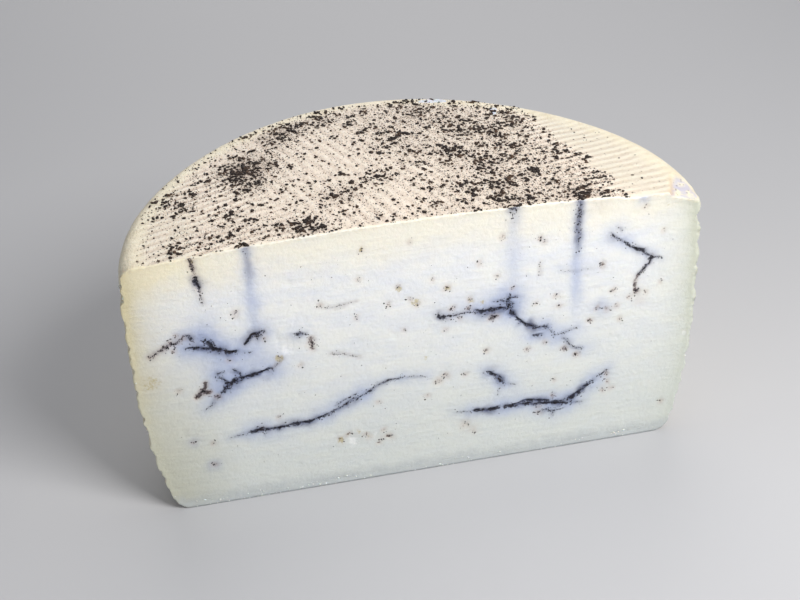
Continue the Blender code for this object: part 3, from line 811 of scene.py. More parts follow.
    def add_vein(self, fields: dict[str, np.ndarray], spots: np.ndarray, vein: Vein,
                 swell: np.ndarray) -> np.ndarray:
        """Add a vein's ink, blur and brown tint to the fields.

        Args:
            fields: The fields, changed in place.
            spots: Rows of x and z.
            vein: The vein.
            swell: How much thicker or thinner than usual veins are at the spots.

        Returns:
            The share of the paste that its blue halo leaves clear.
        """
        distance, along = route_distance(spots, vein.route)
        ends = np.minimum(along, len(vein.route) - 1 - along)
        taper = 0.45 + 0.55 * np.clip(1.6 * ends, 0.0, 1.0)
        half = 0.24 * vein.width * taper * swell
        self.lift(fields, "ink", vein.core * np.clip(1.0 + half - distance, 0.0, 1.0))
        self.lift(fields, "blur", vein.core * taper * bell(distance, 0.6 + 0.9 * vein.width * swell))
        self.lift(fields, "brown", vein.tint * bell(distance, 0.8 * vein.width + 0.6))
        return 1.0 - vein.halo * bell(distance, vein.reach)

    def add_blot(self, fields: dict[str, np.ndarray], spots: np.ndarray, blot: Blot) -> np.ndarray:
        """Add a blot to the fields.

        Args:
            fields: The fields, changed in place.
            spots: Rows of x and z.
            blot: The blot.

        Returns:
            The share of the paste that its blue leaves clear.
        """
        share = bell(np.linalg.norm(spots - blot.spot, axis=1), blot.radius)
        self.lift(fields, "ink", 1.5 * blot.dark * share)
        self.lift(fields, "blur", blot.dark * share)
        for name in ("brown", "yellow", "pale"):
            self.lift(fields, name, getattr(blot, name) * share)
        return 1.0 - blot.blue * share

    def add_mark(self, fields: dict[str, np.ndarray], spots: np.ndarray,
                 mark: NeedleMark) -> np.ndarray:
        """Add a needle mark's dark core to the fields.

        Args:
            fields: The fields, changed in place.
            spots: Rows of x and z.
            mark: The needle mark.

        Returns:
            The share of the paste that its blue leaves clear.
        """
        across = spots[:, 0] - mark.x
        dark = soft_step(spots[:, 1], mark.dark_bottom - 6.0, mark.dark_bottom + 6.0)
        self.lift(fields, "blur", mark.shadow * bell(across, 0.55 * mark.width) * dark)
        reach = soft_step(spots[:, 1], mark.bottom - 6.0, mark.bottom + 8.0)
        return 1.0 - mark.blue * bell(across, mark.width) * reach

    def shaped(self) -> bpy.types.Mesh:
        """Raise the dome, round the edges, open veins and eyes, and paint the fields."""
        shape = self.sliced()
        mesh = bpy.data.meshes.new("cheese_body")
        shape.to_mesh(mesh)
        shape.free()
        rows = rows_of(mesh)
        on_cut = np.abs(rows[:, 1] + FORM.cut_offset) < TOUCH
        on_top = rows[:, 2] > FORM.flat_height - TOUCH
        on_base = rows[:, 2] < TOUCH
        rows[:, 2] = self.raised(rows, on_cut, on_top)
        before = rows.copy()
        depth = rows[:, 1] + FORM.cut_offset
        rim = self.rim_distance(rows)
        self.round_edges(rows, on_cut, on_base, rim, self.inward(rows))
        cutness = 1.0 - soft_step(depth, 0.1, 0.9)
        fields = {name: values * cutness for name, values in self.vein_fields(rows[:, [0, 2]]).items()}
        fields.update(self.edge_fields(before, rows, cutness))
        self.carve(rows, on_cut, fields, rim)
        outer = np.clip(1.0 - rim / 1.6, 0.0, 1.0) * (np.abs(before[:, 0]) > self.outline_from)
        self.roughen(rows, np.where(on_cut | on_top | on_base, outer * (depth < 3.0), 1.0))
        set_rows(mesh, rows)
        fields.update(self.top_fields(before, rows, on_top, cutness))
        for name, values in fields.items():
            paint(mesh, name, values)
        return mesh

    def raised(self, rows: np.ndarray, on_cut: np.ndarray, on_top: np.ndarray) -> np.ndarray:
        """Work out how high the corners lie once dome, relief, chip and lip are made.

        Args:
            rows: The corners of the flat-topped wheel.
            on_cut: Which corners lie on the cut.
            on_top: Which lie on the top.

        Returns:
            The heights.
        """
        x, y, z = rows.T
        domed = z + FORM.rise(x, y) * soft_step(z, self.fold_height, FORM.flat_height)
        full_top = FORM.cut_top(x)
        fold = np.clip((domed - full_top + self.fold_reach) / self.fold_reach, 0.0, 1.0)
        z = np.where(on_cut, domed - (full_top - self.worn_top(x)) * fold, z)
        z = np.where(on_top & ~on_cut, RELIEF.surface(x, y), z)
        return np.where(on_cut | on_top, z, np.minimum(z, FORM.chip_floor(x, y)))

    def rim_distance(self, rows: np.ndarray) -> np.ndarray:
        """Measure how far the corners near the cut lie from its outline, a few at a time."""
        outline = self.outline()
        near_cut = np.flatnonzero(rows[:, 1] + FORM.cut_offset < 3.0)
        rim = np.full(len(rows), NOWHERE)
        for part in np.array_split(near_cut, max(1, len(near_cut) // 4000)):
            gaps = outline[None, :, :] - rows[part][:, None, [0, 2]]
            rim[part] = np.linalg.norm(gaps, axis=2).min(axis=1)
        return rim

    @staticmethod
    def inward(rows: np.ndarray) -> np.ndarray:
        """Direction from the outline into the cut, as rows of x and z."""
        x, _, z = rows.T
        across = -np.sign(x) * soft_step(np.abs(x), 76.0, 84.0)
        up = np.where(z > 50.0, -soft_step(z, 84.0, 92.0), soft_step(-z, -4.0, -1.0))
        inward = np.column_stack([across, up])
        return inward / np.maximum(np.linalg.norm(inward, axis=1), 0.3)[:, None]

    def edge_fields(self, before: np.ndarray, rows: np.ndarray,
                    cutness: np.ndarray) -> dict[str, np.ndarray]:
        """Work out where the cut is, and its outer and its upper edge.

        Args:
            before: The corners before their edges were rounded.
            rows: The corners with their edges rounded.
            cutness: 1 on the cut and 0 behind it.

        Returns:
            Fields of cut, rim and lip, the last the band along the upper edge that carries painted shade.
        """
        half_width = np.sqrt(FORM.side_radius(rows[:, 2]) ** 2 - FORM.cut_offset ** 2)
        below = self.worn_top(before[:, 0]) - rows[:, 2]
        return {"cut": cutness,
                "rim": np.exp(-np.clip(half_width - np.abs(rows[:, 0]), 0.0, 60.0) / 6.0),
                "lip": (1.0 - soft_step(below, 0.3, 1.5)) * soft_step(cutness, 0.0, 0.3)}

    def top_fields(self, before: np.ndarray, rows: np.ndarray, on_top: np.ndarray,
                   cutness: np.ndarray) -> dict[str, np.ndarray]:
        """Work out where the top is, its ridges, its dust and the chip.

        Args:
            before: The corners before their edges were rounded.
            rows: The finished corners.
            on_top: Which corners lie on the top.
            cutness: 1 on the cut and 0 behind it.

        Returns:
            Fields of crest, top, dust, wall and chip.
        """
        x, y, z = before.T
        topness = np.where(on_top | (z > FORM.shoulder_height + 0.3 * FORM.shoulder), 1.0, 0.0)
        topness *= soft_step(rows[:, 2], FORM.shoulder_height, FORM.flat_height - 1.0)
        outside = FORM.true_radius(x, y) + 2.5 * self.noise.rough(rows, 9.0, 2)
        topness *= 1.0 - 0.6 * soft_step(outside, FORM.top_radius - 6.0, FORM.top_radius)
        wall = bell(FORM.past_wall(x, y) - 0.3, 0.7) * (1.0 - soft_step(y, 4.0, 9.0))
        floor = FORM.chip_floor(x, y)
        broken = (floor < NOWHERE) & (z > floor - 0.4)
        # crest leads the painted shade between the top's ridges
        return {"crest": 0.5 + 0.5 * RELIEF.ridges(x, y) * on_top,
                "top": topness * (1.0 - cutness),
                "dust": TRUFFLE_MAP.density(x, y) * topness,
                "wall": wall * topness * (1.0 - cutness),
                "chip": soft_step(FORM.cut_top(x) - z, 0.3, 1.2) * broken}

    def round_edges(self, rows: np.ndarray, on_cut: np.ndarray, on_base: np.ndarray,
                    rim: np.ndarray, inward: np.ndarray) -> None:
        """Round the edge between the cut and what surrounds it.

        Args:
            rows: The corners, changed in place.
            on_cut: Which corners lie on the cut.
            on_base: Which lie on the base.
            rim: Their distance from the cut's outline.
            inward: Direction from the outline into the cut, as rows of x and z.
        """
        wobble = 1.0 + 0.5 * self.noise.rough(rows, 2.4, 2)
        round_by = np.where(rows[:, 2] > 80.0, self.edge_round, 0.55 * self.edge_round) * wobble
        depth = rows[:, 1] + FORM.cut_offset
        quarter = 0.25 * math.pi
        on_front = quarter * (1.0 - rim / round_by)
        behind = 2.0 * quarter - quarter * (1.0 - depth / round_by)
        angle = np.where(on_cut, on_front, behind)
        touched = np.where(on_cut, rim < round_by, (depth < round_by) & ~on_base)
        sunk = np.where(on_cut, 1.0 - np.sin(angle) - rim / round_by, 1.0 - np.sin(angle)) * round_by
        back = np.where(on_cut, 1.0 - np.cos(angle), 1.0 - np.cos(angle) - depth / round_by) * round_by
        rows[:, 1] += np.where(touched, back, 0.0)
        flat = touched & ~on_base
        rows[:, 0] += np.where(flat, sunk * inward[:, 0], 0.0)
        rows[:, 2] += np.where(flat, sunk * inward[:, 1], 0.0)
        rows[:, 2] = np.maximum(rows[:, 2], 0.0)

    def carve(self, rows: np.ndarray, on_cut: np.ndarray, fields: dict[str, np.ndarray],
              rim: np.ndarray) -> None:
        """Sink veins, eyes and knife marks into the cut.

        Args:
            rows: The corners, changed in place.
            on_cut: Which corners lie on the cut.
            fields: What stains the cut.
            rim: Distance from the cut's outline.
        """
        drag = rows * (0.25, 1.0, 1.0)
        waves = 0.07 * self.noise.rough(drag, 11.0, 2) + 0.05 * self.noise.rough(rows, 2.4, 3)
        pits = soft_step(self.noise.rough(rows + 40.0, 3.2, 2), 0.42, 0.7)
        open_eye = np.maximum(fields["brown"], fields["pale"]) * (0.6 + 0.6 * self.noise.at(rows, 1.1))
        sink = self.recess * (1.0 + pits) + waves + self.eye_depth * np.clip(open_eye, 0.0, 1.0)
        sink += self.groove_depth * soft_step(fields["ink"], 0.35, 1.0)
        inside = soft_step(rim, 0.2, 2.4)
        rows[:, 1] += np.where(on_cut, np.maximum(sink * inside, 0.0), 0.0)

    def roughen(self, rows: np.ndarray, free: np.ndarray) -> None:
        """Wear the ribbed side inward, unevenly, and most of all at the cut's outline.

        Args:
            rows: The corners, changed in place.
            free: How far each corner may move, 0 where it stays as it is.
        """
        jagged = 1.0 - soft_step(rows[:, 1] + FORM.cut_offset, 1.5, 5.0)
        wear = (0.26 + 0.08 * jagged + 0.12 * self.noise.rough(rows, 9.0, 2)
                + (0.09 + 0.09 * jagged) * self.noise.rough(rows, 2.6, 3)
                + self.outline_wear * jagged * self.noise.at(rows + 5.0, 1.7))
        radius = np.maximum(np.hypot(rows[:, 0], rows[:, 1]), 1.0)
        share = free * np.maximum(wear, 0.0) / radius
        front = rows[:, 1] < 2.0 - FORM.cut_offset
        rows[:, 0] -= share * rows[:, 0]
        rows[:, 1] -= np.where(front, 0.0, share * rows[:, 1])

    def build(self, material: bpy.types.Material) -> bpy.types.Object:
        """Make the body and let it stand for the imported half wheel."""
        body = show("cheese_body", self.shaped(), material)
        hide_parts("cheese")
        return body


# Truffle on the top: where it gathers, as (x, y), spread and share of the crumbs
GATHERS = (
    ((-45.5, 45.0), 6.0, 20), ((-47.0, 31.0), 4.0, 7), ((-35.0, 66.0), 5.5, 9),
    ((-27.0, 72.0), 5.0, 6), ((-18.0, 77.0), 5.0, 6), ((-33.0, 60.0), 4.0, 2),
    ((-68.0, 28.0), 3.5, 4), ((-63.0, 33.0), 2.5, 2), ((-75.0, 30.0), 3.5, 3),
    ((-60.0, 3.0), 5.5, 9), ((-70.0, 2.0), 3.0, 3), ((-54.0, 16.0), 2.5, 2),
    ((-33.0, 1.5), 5.0, 4), ((-19.0, 16.5), 4.4, 7), ((-3.0, 22.5), 2.5, 2),
    ((3.0, 49.0), 3.5, 3), ((0.0, 60.5), 3.0, 2), ((18.0, 74.0), 4.0, 4),
    ((14.0, 66.0), 4.0, 3), ((26.0, 61.0), 4.5, 4), ((46.5, 62.0), 3.2, 4),
    ((43.0, 54.0), 2.5, 2), ((38.0, 43.0), 3.5, 3), ((41.0, 35.0), 3.0, 3),
    ((21.0, 36.0), 4.0, 4), ((18.0, 12.0), 3.0, 2), ((29.0, 10.0), 4.5, 4),
    ((43.0, 15.0), 2.5, 2), ((54.0, 27.0), 4.0, 1), ((61.5, 9.5), 3.0, 5),
    ((51.5, -1.5), 4.0, 10), ((35.0, 1.0), 4.5, 4), ((-30.0, 70.0), 2.8, 4),
    ((-50.5, 40.5), 4.0, 6), ((30.0, 24.0), 4.5, 3), ((10.0, 41.0), 4.5, 3),
    ((-8.0, 27.0), 4.0, 2), ((30.0, 52.0), 4.5, 3), ((10.0, -3.0), 6.0, 3),
    ((-12.0, -3.0), 6.0, 2), ((30.0, -3.5), 4.0, 3), ((-45.0, 3.0), 6.0, 3), ((-31.0, -1.5), 3.0, 4),
)


@dataclass(frozen=True)
class TruffleMap:
    """Where truffle lies on the top: gathered heaps on a loose scatter, bare on the right."""

    bare_front: Spot = (66.5, -6.0)
    bare_back: Spot = (50.0, 72.0)
    edge_margin: float = 1.2
    front_margin: float = 0.3
    noise: LatticeNoise = field(default_factory=lambda: LatticeNoise(17))

    def bare_gap(self, x: np.ndarray, y: np.ndarray) -> np.ndarray:
        """Distance left of the line beyond which the top is bare."""
        along = (y - self.bare_front[1]) / (self.bare_back[1] - self.bare_front[1])
        places = np.stack([x, y, np.zeros_like(x)], axis=1)
        straight = self.bare_front[0] + along * (self.bare_back[0] - self.bare_front[0]) - x
        return straight + 4.5 * self.noise.rough(places, 8.0, 3)

    def density(self, x: np.ndarray, y: np.ndarray) -> np.ndarray:
        """How thickly truffle lies at places, from 0 to 1."""
        total = 0.13 + 0.20 * soft_step(x + 0.35 * y, -5.0, 36.0)
        for middle, spread, share in GATHERS:
            total += 0.05 * share * bell(np.hypot(x - middle[0], y - middle[1]), 1.25 * spread)
        left_rind = soft_step(x + 0.35 * y, -66.0, -48.0)
        return np.clip(total, 0.0, 1.0) * soft_step(self.bare_gap(x, y), -5.0, 9.0) * (
            0.35 + 0.65 * left_rind)

    def allowed(self, spots: np.ndarray) -> np.ndarray:
        """Say which spots lie on the top and left of the bare part."""
        x, y = spots.T
        reach = FORM.top_radius - self.edge_margin + 2.4 * (y > 20.0)
        return ((FORM.true_radius(x, y) < reach) & (y > self.front_margin - FORM.cut_offset)
                & (self.bare_gap(x, y) > -1.0))

    def gathered(self, draw: np.random.Generator, count: int, tightness: float) -> np.ndarray:
        """Draw spots in the gathers.

        Args:
            draw: The seeded draw.
            count: How many spots.
            tightness: Spread as a share of each gather's own.

        Returns:
            Rows of x and y.
        """
        weights = np.array([share for _, _, share in GATHERS], float)
        chosen = draw.choice(len(GATHERS), 3 * count, p=weights / weights.sum())
        middles = np.array([middle for middle, _, _ in GATHERS])[chosen]
        spreads = np.array([spread for _, spread, _ in GATHERS])[chosen]
        spots = middles + draw.normal(size=(3 * count, 2)) * tightness * spreads[:, None]
        return spots[self.allowed(spots)][:count]

    def loose(self, draw: np.random.Generator, count: int) -> np.ndarray:
        """Draw spots all over the sprinkled top, more of them at the right, the back and in valleys.

        Args:
            draw: The seeded draw.
            count: How many spots.

        Returns:
            Rows of x and y.
        """
        reach = FORM.top_radius
        spots = draw.uniform((-reach, -FORM.cut_offset), (reach, reach), (9 * count, 2))
        spots = spots[self.allowed(spots)]
        x, y = spots.T
        chance = (0.42 + 0.58 * soft_step(x + 0.35 * y, -5.0, 36.0)) * (0.62 - 0.38 * RELIEF.ridges(x, y))
        return spots[draw.random(len(spots)) < chance][:count]

    def strays(self, draw: np.random.Generator, count: int) -> np.ndarray:
        """Draw the few spots that lie on the bare part.

        Args:
            draw: The seeded draw.
            count: How many spots, before those past the rim are dropped.

        Returns:
            Rows of x and y.
        """
        spots = draw.uniform((48.0, -4.0), (80.0, 60.0), (count, 2))
        return spots[FORM.true_radius(*spots.T) < FORM.top_radius - self.edge_margin]


TRUFFLE_MAP = TruffleMap()


@dataclass(frozen=True)
class CrumbKind:
    """Shape of one kind of crumb: faces of its ball, roughness and proportions."""

    name: str
    subdivisions: int = 1
    roughness: float = 0.25
    stretch: tuple[float, float] = (0.7, 1.5)
    flatness: tuple[float, float] = (0.35, 0.6)
    seed: int = 1

    def template(self) -> bpy.types.Object:
        """Make one ball, the start of every crumb of this kind."""
        shape = bmesh.new()
        bmesh.ops.create_icosphere(shape, subdivisions=self.subdivisions, radius=1.0)
        mesh = bpy.data.meshes.new(self.name)
        shape.to_mesh(mesh)
        shape.free()
        item = bpy.data.objects.new(self.name + "_start", mesh)
        bpy.context.scene.collection.objects.link(item)
        return item

    def heap(self, middles: np.ndarray, radii: np.ndarray, facing: int,
             heading: np.ndarray) -> bpy.types.Mesh:
        """Array the ball, then shape and place each copy.

        Args:
            middles: Rows of x, y and z, one for each crumb.
            radii: The crumbs' radii.
            facing: The axis along which the crumbs are flat.
            heading: Angle of each crumb's long side in its plane.

        Returns:
            One mesh that holds all the crumbs.
        """
        item = self.template()
        array = item.modifiers.new("copies", "ARRAY")
        array.fit_type = "FIXED_COUNT"
        array.count = len(middles)
        array.relative_offset_displace = (0.0, 0.0, 0.0)
        bpy.context.view_layer.update()
        graph = bpy.context.evaluated_depsgraph_get()
        mesh = bpy.data.meshes.new_from_object(item.evaluated_get(graph))
        start = item.data
        bpy.data.objects.remove(item, do_unlink=True)
        bpy.data.meshes.remove(start)
        mesh.name = self.name
        draw = np.random.default_rng(self.seed)
        rows = rows_of(mesh).reshape(len(middles), -1, 3)
        rows *= 1.0 + draw.uniform(-self.roughness, self.roughness, rows.shape[:2] + (1,))
        stretch = draw.uniform(*self.stretch, len(middles))
        plane = [axis for axis in range(3) if axis != facing]
        scale = np.empty((len(middles), 3))
        scale[:, plane[0]] = radii * np.sqrt(stretch)
        scale[:, plane[1]] = radii / np.sqrt(stretch)
        scale[:, facing] = radii * draw.uniform(*self.flatness, len(middles))
        rows *= scale[:, None, :]
        cosine, sine = np.cos(heading)[:, None], np.sin(heading)[:, None]
        across, up = rows[:, :, plane[0]].copy(), rows[:, :, plane[1]].copy()
        rows[:, :, plane[0]] = across * cosine - up * sine
        rows[:, :, plane[1]] = across * sine + up * cosine
        set_rows(mesh, (rows + middles[:, None, :]).reshape(-1, 3))
        return mesh


@dataclass
class TopTruffle:
    """Truffle on the top: crumbs in heaps, loose crumbs and fine dust."""

    clumps: int = 175
    lone_clumps: int = 150
    per_clump: int = 4
    gathered: int = 1450
    loose: int = 1700
    strays: int = 60
    dust: int = 9300
    sink: float = 0.25
    bare_from: float = 48.0

    def headings(self, draw: np.random.Generator, spots: np.ndarray) -> np.ndarray:
        """Turn crumbs roughly along the middle's ridges, or straight where the bare part starts."""
        along = RELIEF.middle[0] * (spots[:, 0] < self.bare_from)
        return along + draw.normal(0.0, 0.45, len(spots))

    def placed(self, spots: np.ndarray, radii: np.ndarray) -> np.ndarray:
        """Set crumbs on the top, a little sunk."""
        height = RELIEF.surface(spots[:, 0], spots[:, 1]) + self.sink * radii
        return np.column_stack([spots, height])

    def clump_spots(self, draw: np.random.Generator) -> tuple[np.ndarray, np.ndarray]:
        """Draw the large crumbs that stand close together in clumps: their spots and radii."""
        clumps = np.concatenate([TRUFFLE_MAP.gathered(draw, self.clumps, 0.62),
                                 TRUFFLE_MAP.loose(draw, self.lone_clumps)])
        spots = np.repeat(clumps, self.per_clump, axis=0)
        spots = spots + draw.normal(0.0, (0.95, 0.6), spots.shape)
        spots = spots[TRUFFLE_MAP.allowed(spots)]
        return spots, draw.uniform(0.30, 0.76, len(spots))

    def build(self, material: bpy.types.Material) -> list[bpy.types.Object]:
        """Make the crumbs and the dust.

        Args:
            material: Their finish.

        Returns:
            Both pieces.
        """
        draw = np.random.default_rng(31)
        clumped, clump_radii = self.clump_spots(draw)
        near = TRUFFLE_MAP.gathered(draw, self.gathered, 1.15)
        free = TRUFFLE_MAP.loose(draw, self.loose)
        stray = TRUFFLE_MAP.strays(draw, self.strays)
        spots = np.concatenate([clumped, near, free, stray])
        radii = np.concatenate([clump_radii, 0.18 + 0.40 * draw.random(len(near)) ** 1.5,
                                0.18 + 0.52 * draw.random(len(free)) ** 2.2,
                                0.12 + 0.38 * draw.random(len(stray)) ** 3])
        kind = CrumbKind("top_crumbs", roughness=0.4, stretch=(0.7, 2.1), seed=41)
        crumbs = kind.heap(self.placed(spots, radii), radii, 2, self.headings(draw, spots))
        fine = np.concatenate([TRUFFLE_MAP.gathered(draw, self.dust // 3, 1.25),
                               TRUFFLE_MAP.loose(draw, self.dust // 3 * 2)])
        fine_radii = 0.07 + 0.16 * draw.random(len(fine)) ** 1.6
        grain = CrumbKind("top_dust", stretch=(0.6, 2.2), seed=42)
        dust = grain.heap(self.placed(fine, fine_radii), fine_radii, 2, self.headings(draw, fine))
        return [show("top_crumbs", keep_behind(crumbs), material),
                show("top_dust", keep_behind(dust), material)]


@dataclass
class CutTruffle:
    """Truffle fragments in the cut: along the veins, in the needle marks and alone."""

    per_length: float = 5.5
    lone: int = 260
    skin: float = 0.02

    def vein_fragments(self, draw: np.random.Generator) -> tuple[np.ndarray, np.ndarray, np.ndarray]:
        """Draw fragments along every vein.

        Args:
            draw: The seeded draw.

        Returns:
            Rows of x and z, radii and headings.
        """
        spots, radii, headings = [], [], []
        for vein in VEINS:
            for start, end in zip(vein.route, vein.route[1:]):
                run = np.subtract(end, start)
                length = float(np.hypot(*run))
                count = int(self.per_length * vein.crumbs * length + draw.random())
                share = draw.random((count, 1))
                spread = 0.28 * vein.width + 0.55 * (draw.random((count, 1)) < 0.35)
                spots.append(np.array(start) + share * run + draw.normal(size=(count, 2)) * spread)
                radii.append(0.08 + 0.22 * draw.random(count) ** 1.8 * (0.5 + 0.5 * vein.width))
                headings.append(math.atan2(run[1], run[0]) + draw.normal(0.0, 0.5, count))
        return np.concatenate(spots), np.concatenate(radii), np.concatenate(headings)

    def mark_fragments(self, draw: np.random.Generator) -> tuple[np.ndarray, np.ndarray, np.ndarray]:
        """Draw fragments in the needle marks, in the specks and alone in the cut.

        Args:
            draw: The seeded draw.

        Returns:
            Rows of x and z, radii and headings.
        """
        spots, radii = [], []
        for mark in NEEDLE_MARKS:
            height = draw.triangular(mark.dark_bottom - 3.0, mark.dark_top - 3.0, mark.dark_top,
                                     mark.fragments)
            across = mark.x + 0.30 * mark.width * draw.normal(size=mark.fragments)
            spots.append(np.column_stack([across, height]))
            radii.append(0.08 + 0.22 * draw.random(mark.fragments) ** 1.5)
        for middle, count in SPECKS:
            spots.append(np.array(middle) + 0.65 * draw.normal(size=(count, 2)))
            radii.append(0.10 + 0.24 * draw.random(count) ** 1.5)
        loose = draw.uniform((-80.0, 12.0), (82.0, 88.0), (self.lone, 2))
        spots.append(loose)
        radii.append(0.06 + 0.12 * draw.random(len(loose)) ** 2)
        spots, radii = np.concatenate(spots), np.concatenate(radii)
        return spots, radii, draw.uniform(0.0, math.pi, len(spots))

    def placed(self, spots: np.ndarray, body: bpy.types.Object) -> np.ndarray:
        """Set fragments against the body's cut surface, found by rays."""
        matrix = row_matrix()
        back = matrix.inverted()
        middles = np.empty((len(spots), 3))
        for index, (x, z) in enumerate(spots):
            origin = matrix @ Vector((x, -FORM.cut_offset - 5.0, z))
            hit, place, _, _ = body.ray_cast(origin, Vector((0.0, 1.0, 0.0)))
            depth = (back @ place).y if hit else 0.0
            middles[index] = (x, depth - self.skin, z)
        return middles

    def build(self, body: bpy.types.Object, dark: bpy.types.Material) -> list[bpy.types.Object]:
        """Make the fragments against the finished body.

        Args:
            body: The cheese that they lie in.
            dark: Their finish.

        Returns:
            The pieces.
        """
        bpy.context.view_layer.update()
        draw = np.random.default_rng(57)
        pieces = []
        for name, (spots, radii, headings) in (("vein_truffle", self.vein_fragments(draw)),
                                               ("mark_truffle", self.mark_fragments(draw))):
            middles = self.placed(spots, body)
            kept = middles[:, 1] < 0.0
            kind = CrumbKind(name, roughness=0.3, stretch=(0.7, 2.4), flatness=(0.25, 0.5),
                             seed=len(name))
            mesh = kind.heap(middles[kept], radii[kept], 1, headings[kept])
            pieces.append(show(name, keep_behind(mesh), dark))
        return pieces


@dataclass
class EdgeCrumbs:
    """Pale crumbs of paste that the knife left along the edges, and flakes on the top."""

    along_foot: int = 180
    along_side: int = 190
    along_top: int = 34
    foot_nests: tuple[float, ...] = (-72.0, -62.0, -50.0, -38.0, 4.0, 22.0, 48.0, 66.0)
    left_share: float = 0.68
    front: float = -FORM.cut_offset

    def foot(self, draw: np.random.Generator) -> np.ndarray:
        """Draw where crumbs lie at the foot of the cut, in nests."""
        across = draw.choice(self.foot_nests, self.along_foot) + draw.normal(0.0, 9.0, self.along_foot)
        return np.column_stack([np.clip(across, -78.0, 80.0),
                                np.full(self.along_foot, self.front + 0.16),
                                0.2 + 2.4 * draw.random(self.along_foot) ** 3])

    def side(self, draw: np.random.Generator) -> np.ndarray:
        """Draw where crumbs cling to the side, just behind the cut's outline."""
        height = draw.uniform(5.0, 88.0, self.along_side)
        sign = np.where(draw.random(self.along_side) < self.left_share, -1.0, 1.0)
        reach = FORM.side_radius(height) + FORM.rib_relief(height)
        scale = FORM.plan_scale(np.where(sign < 0.0, math.pi, 0.0))
        reach = np.sqrt(reach ** 2 - self.front ** 2) * scale
        bulge = bell(height - FORM.widest_height, 22.0)
        return np.column_stack([sign * (reach - 0.42 - 0.5 * bulge),
                                self.front + 0.2 + 3.0 * draw.random(self.along_side) ** 2, height])

    def top(self, draw: np.random.Generator) -> np.ndarray:
        """Draw where crumbs lie on the cut's upper edge."""
        x = draw.uniform(-70.0, 70.0, self.along_top)
        return np.column_stack([x, np.full(self.along_top, self.front + 0.5), FORM.cut_top(x) - 0.4])

    def build(self, material: bpy.types.Material) -> list[bpy.types.Object]:
        """Make the crumbs, with a lump at the foot, and the flakes.

        Args:
            material: The crumbs' finish.

        Returns:
            The pieces.
        """
        draw = np.random.default_rng(73)
        lump = np.array([(-18.0, self.front + 0.9, 0.8), (-17.2, self.front + 0.8, 0.7),
                         (6.0, self.front + 0.7, 0.6)])
        middles = np.concatenate([self.foot(draw), self.side(draw), self.top(draw), lump])
        radii = np.concatenate([0.14 + 0.36 * draw.random(self.along_foot) ** 2,
                                0.16 + 0.30 * draw.random(self.along_side) ** 2,
                                draw.uniform(0.14, 0.34, self.along_top),
                                (0.78, 0.6, 0.5)])
        kind = CrumbKind("edge_crumbs", roughness=0.3, flatness=(0.45, 0.9), seed=77)
        mesh = kind.heap(middles, radii, 1, draw.uniform(0.0, math.pi, len(middles)))
        flaky = CrumbFinish(shade(226, 224, 232), shade(206, 202, 208)).material()
        return [show("edge_crumbs", keep_behind(mesh), material), self.flakes(flaky)]

    def flakes(self, material: bpy.types.Material) -> bpy.types.Object:
        """Make the thin pale flakes that lie at the back of the top."""
        spots = np.array([(41.7, 63.0), (42.3, 66.4), (20.4, 80.3), (22.6, 79.9), (24.9, 79.5),
                          (26.8, 78.6)])
        radii = np.array([1.2, 1.5, 1.5, 2.0, 1.8, 1.3])
        middles = np.column_stack([spots, RELIEF.surface(*spots.T)])
        kind = CrumbKind("top_flakes", subdivisions=3, roughness=0.05, stretch=(1.4, 2.0),
                         flatness=(0.08, 0.14), seed=79)
        mesh = kind.heap(middles, radii, 2, np.radians([78.0, 70.0, -6.0, -10.0, -14.0, -20.0]))
        return show("top_flakes", mesh, material)


class Signal:
    """A number that flows out of a node, with the operators that shape it."""

    def __init__(self, bench: "NodeBench", socket: bpy.types.NodeSocket) -> None:
        """Wrap a socket.

        Args:
            bench: The tree that the socket belongs to.
            socket: The output socket.
        """
        self.bench = bench
        self.socket = socket

    def maths(self, operation: str, *values: Any, clamp: bool = False) -> "Signal":
        """Add a Math node on values, of which one is usually this signal."""
        return self.bench.add("ShaderNodeMath", {"operation": operation, "use_clamp": clamp},
                              dict(enumerate(values)))

    def __add__(self, other: Any) -> "Signal":
        """Add a number or a signal."""
        return self.maths("ADD", self, other)

    def __sub__(self, other: Any) -> "Signal":
        """Take a number or a signal away."""
        return self.maths("SUBTRACT", self, other)

    def __rsub__(self, other: Any) -> "Signal":
        """Take this signal away from a number."""
        return self.maths("SUBTRACT", other, self)

    def __mul__(self, other: Any) -> "Signal":
        """Multiply by a number or a signal."""
        return self.maths("MULTIPLY", self, other)

    __radd__ = __add__
    __rmul__ = __mul__

    def clamped(self) -> "Signal":
        """Keep the signal from 0 to 1."""
        return self.maths("ADD", self, 0.0, clamp=True)

    def step(self, low: float, high: float) -> "Signal":
        """Rise smoothly from 0 at low to 1 at high."""
        return self.bench.add("ShaderNodeMapRange", {"interpolation_type": "SMOOTHSTEP"},
                              {"Value": self, "From Min": low, "From Max": high})


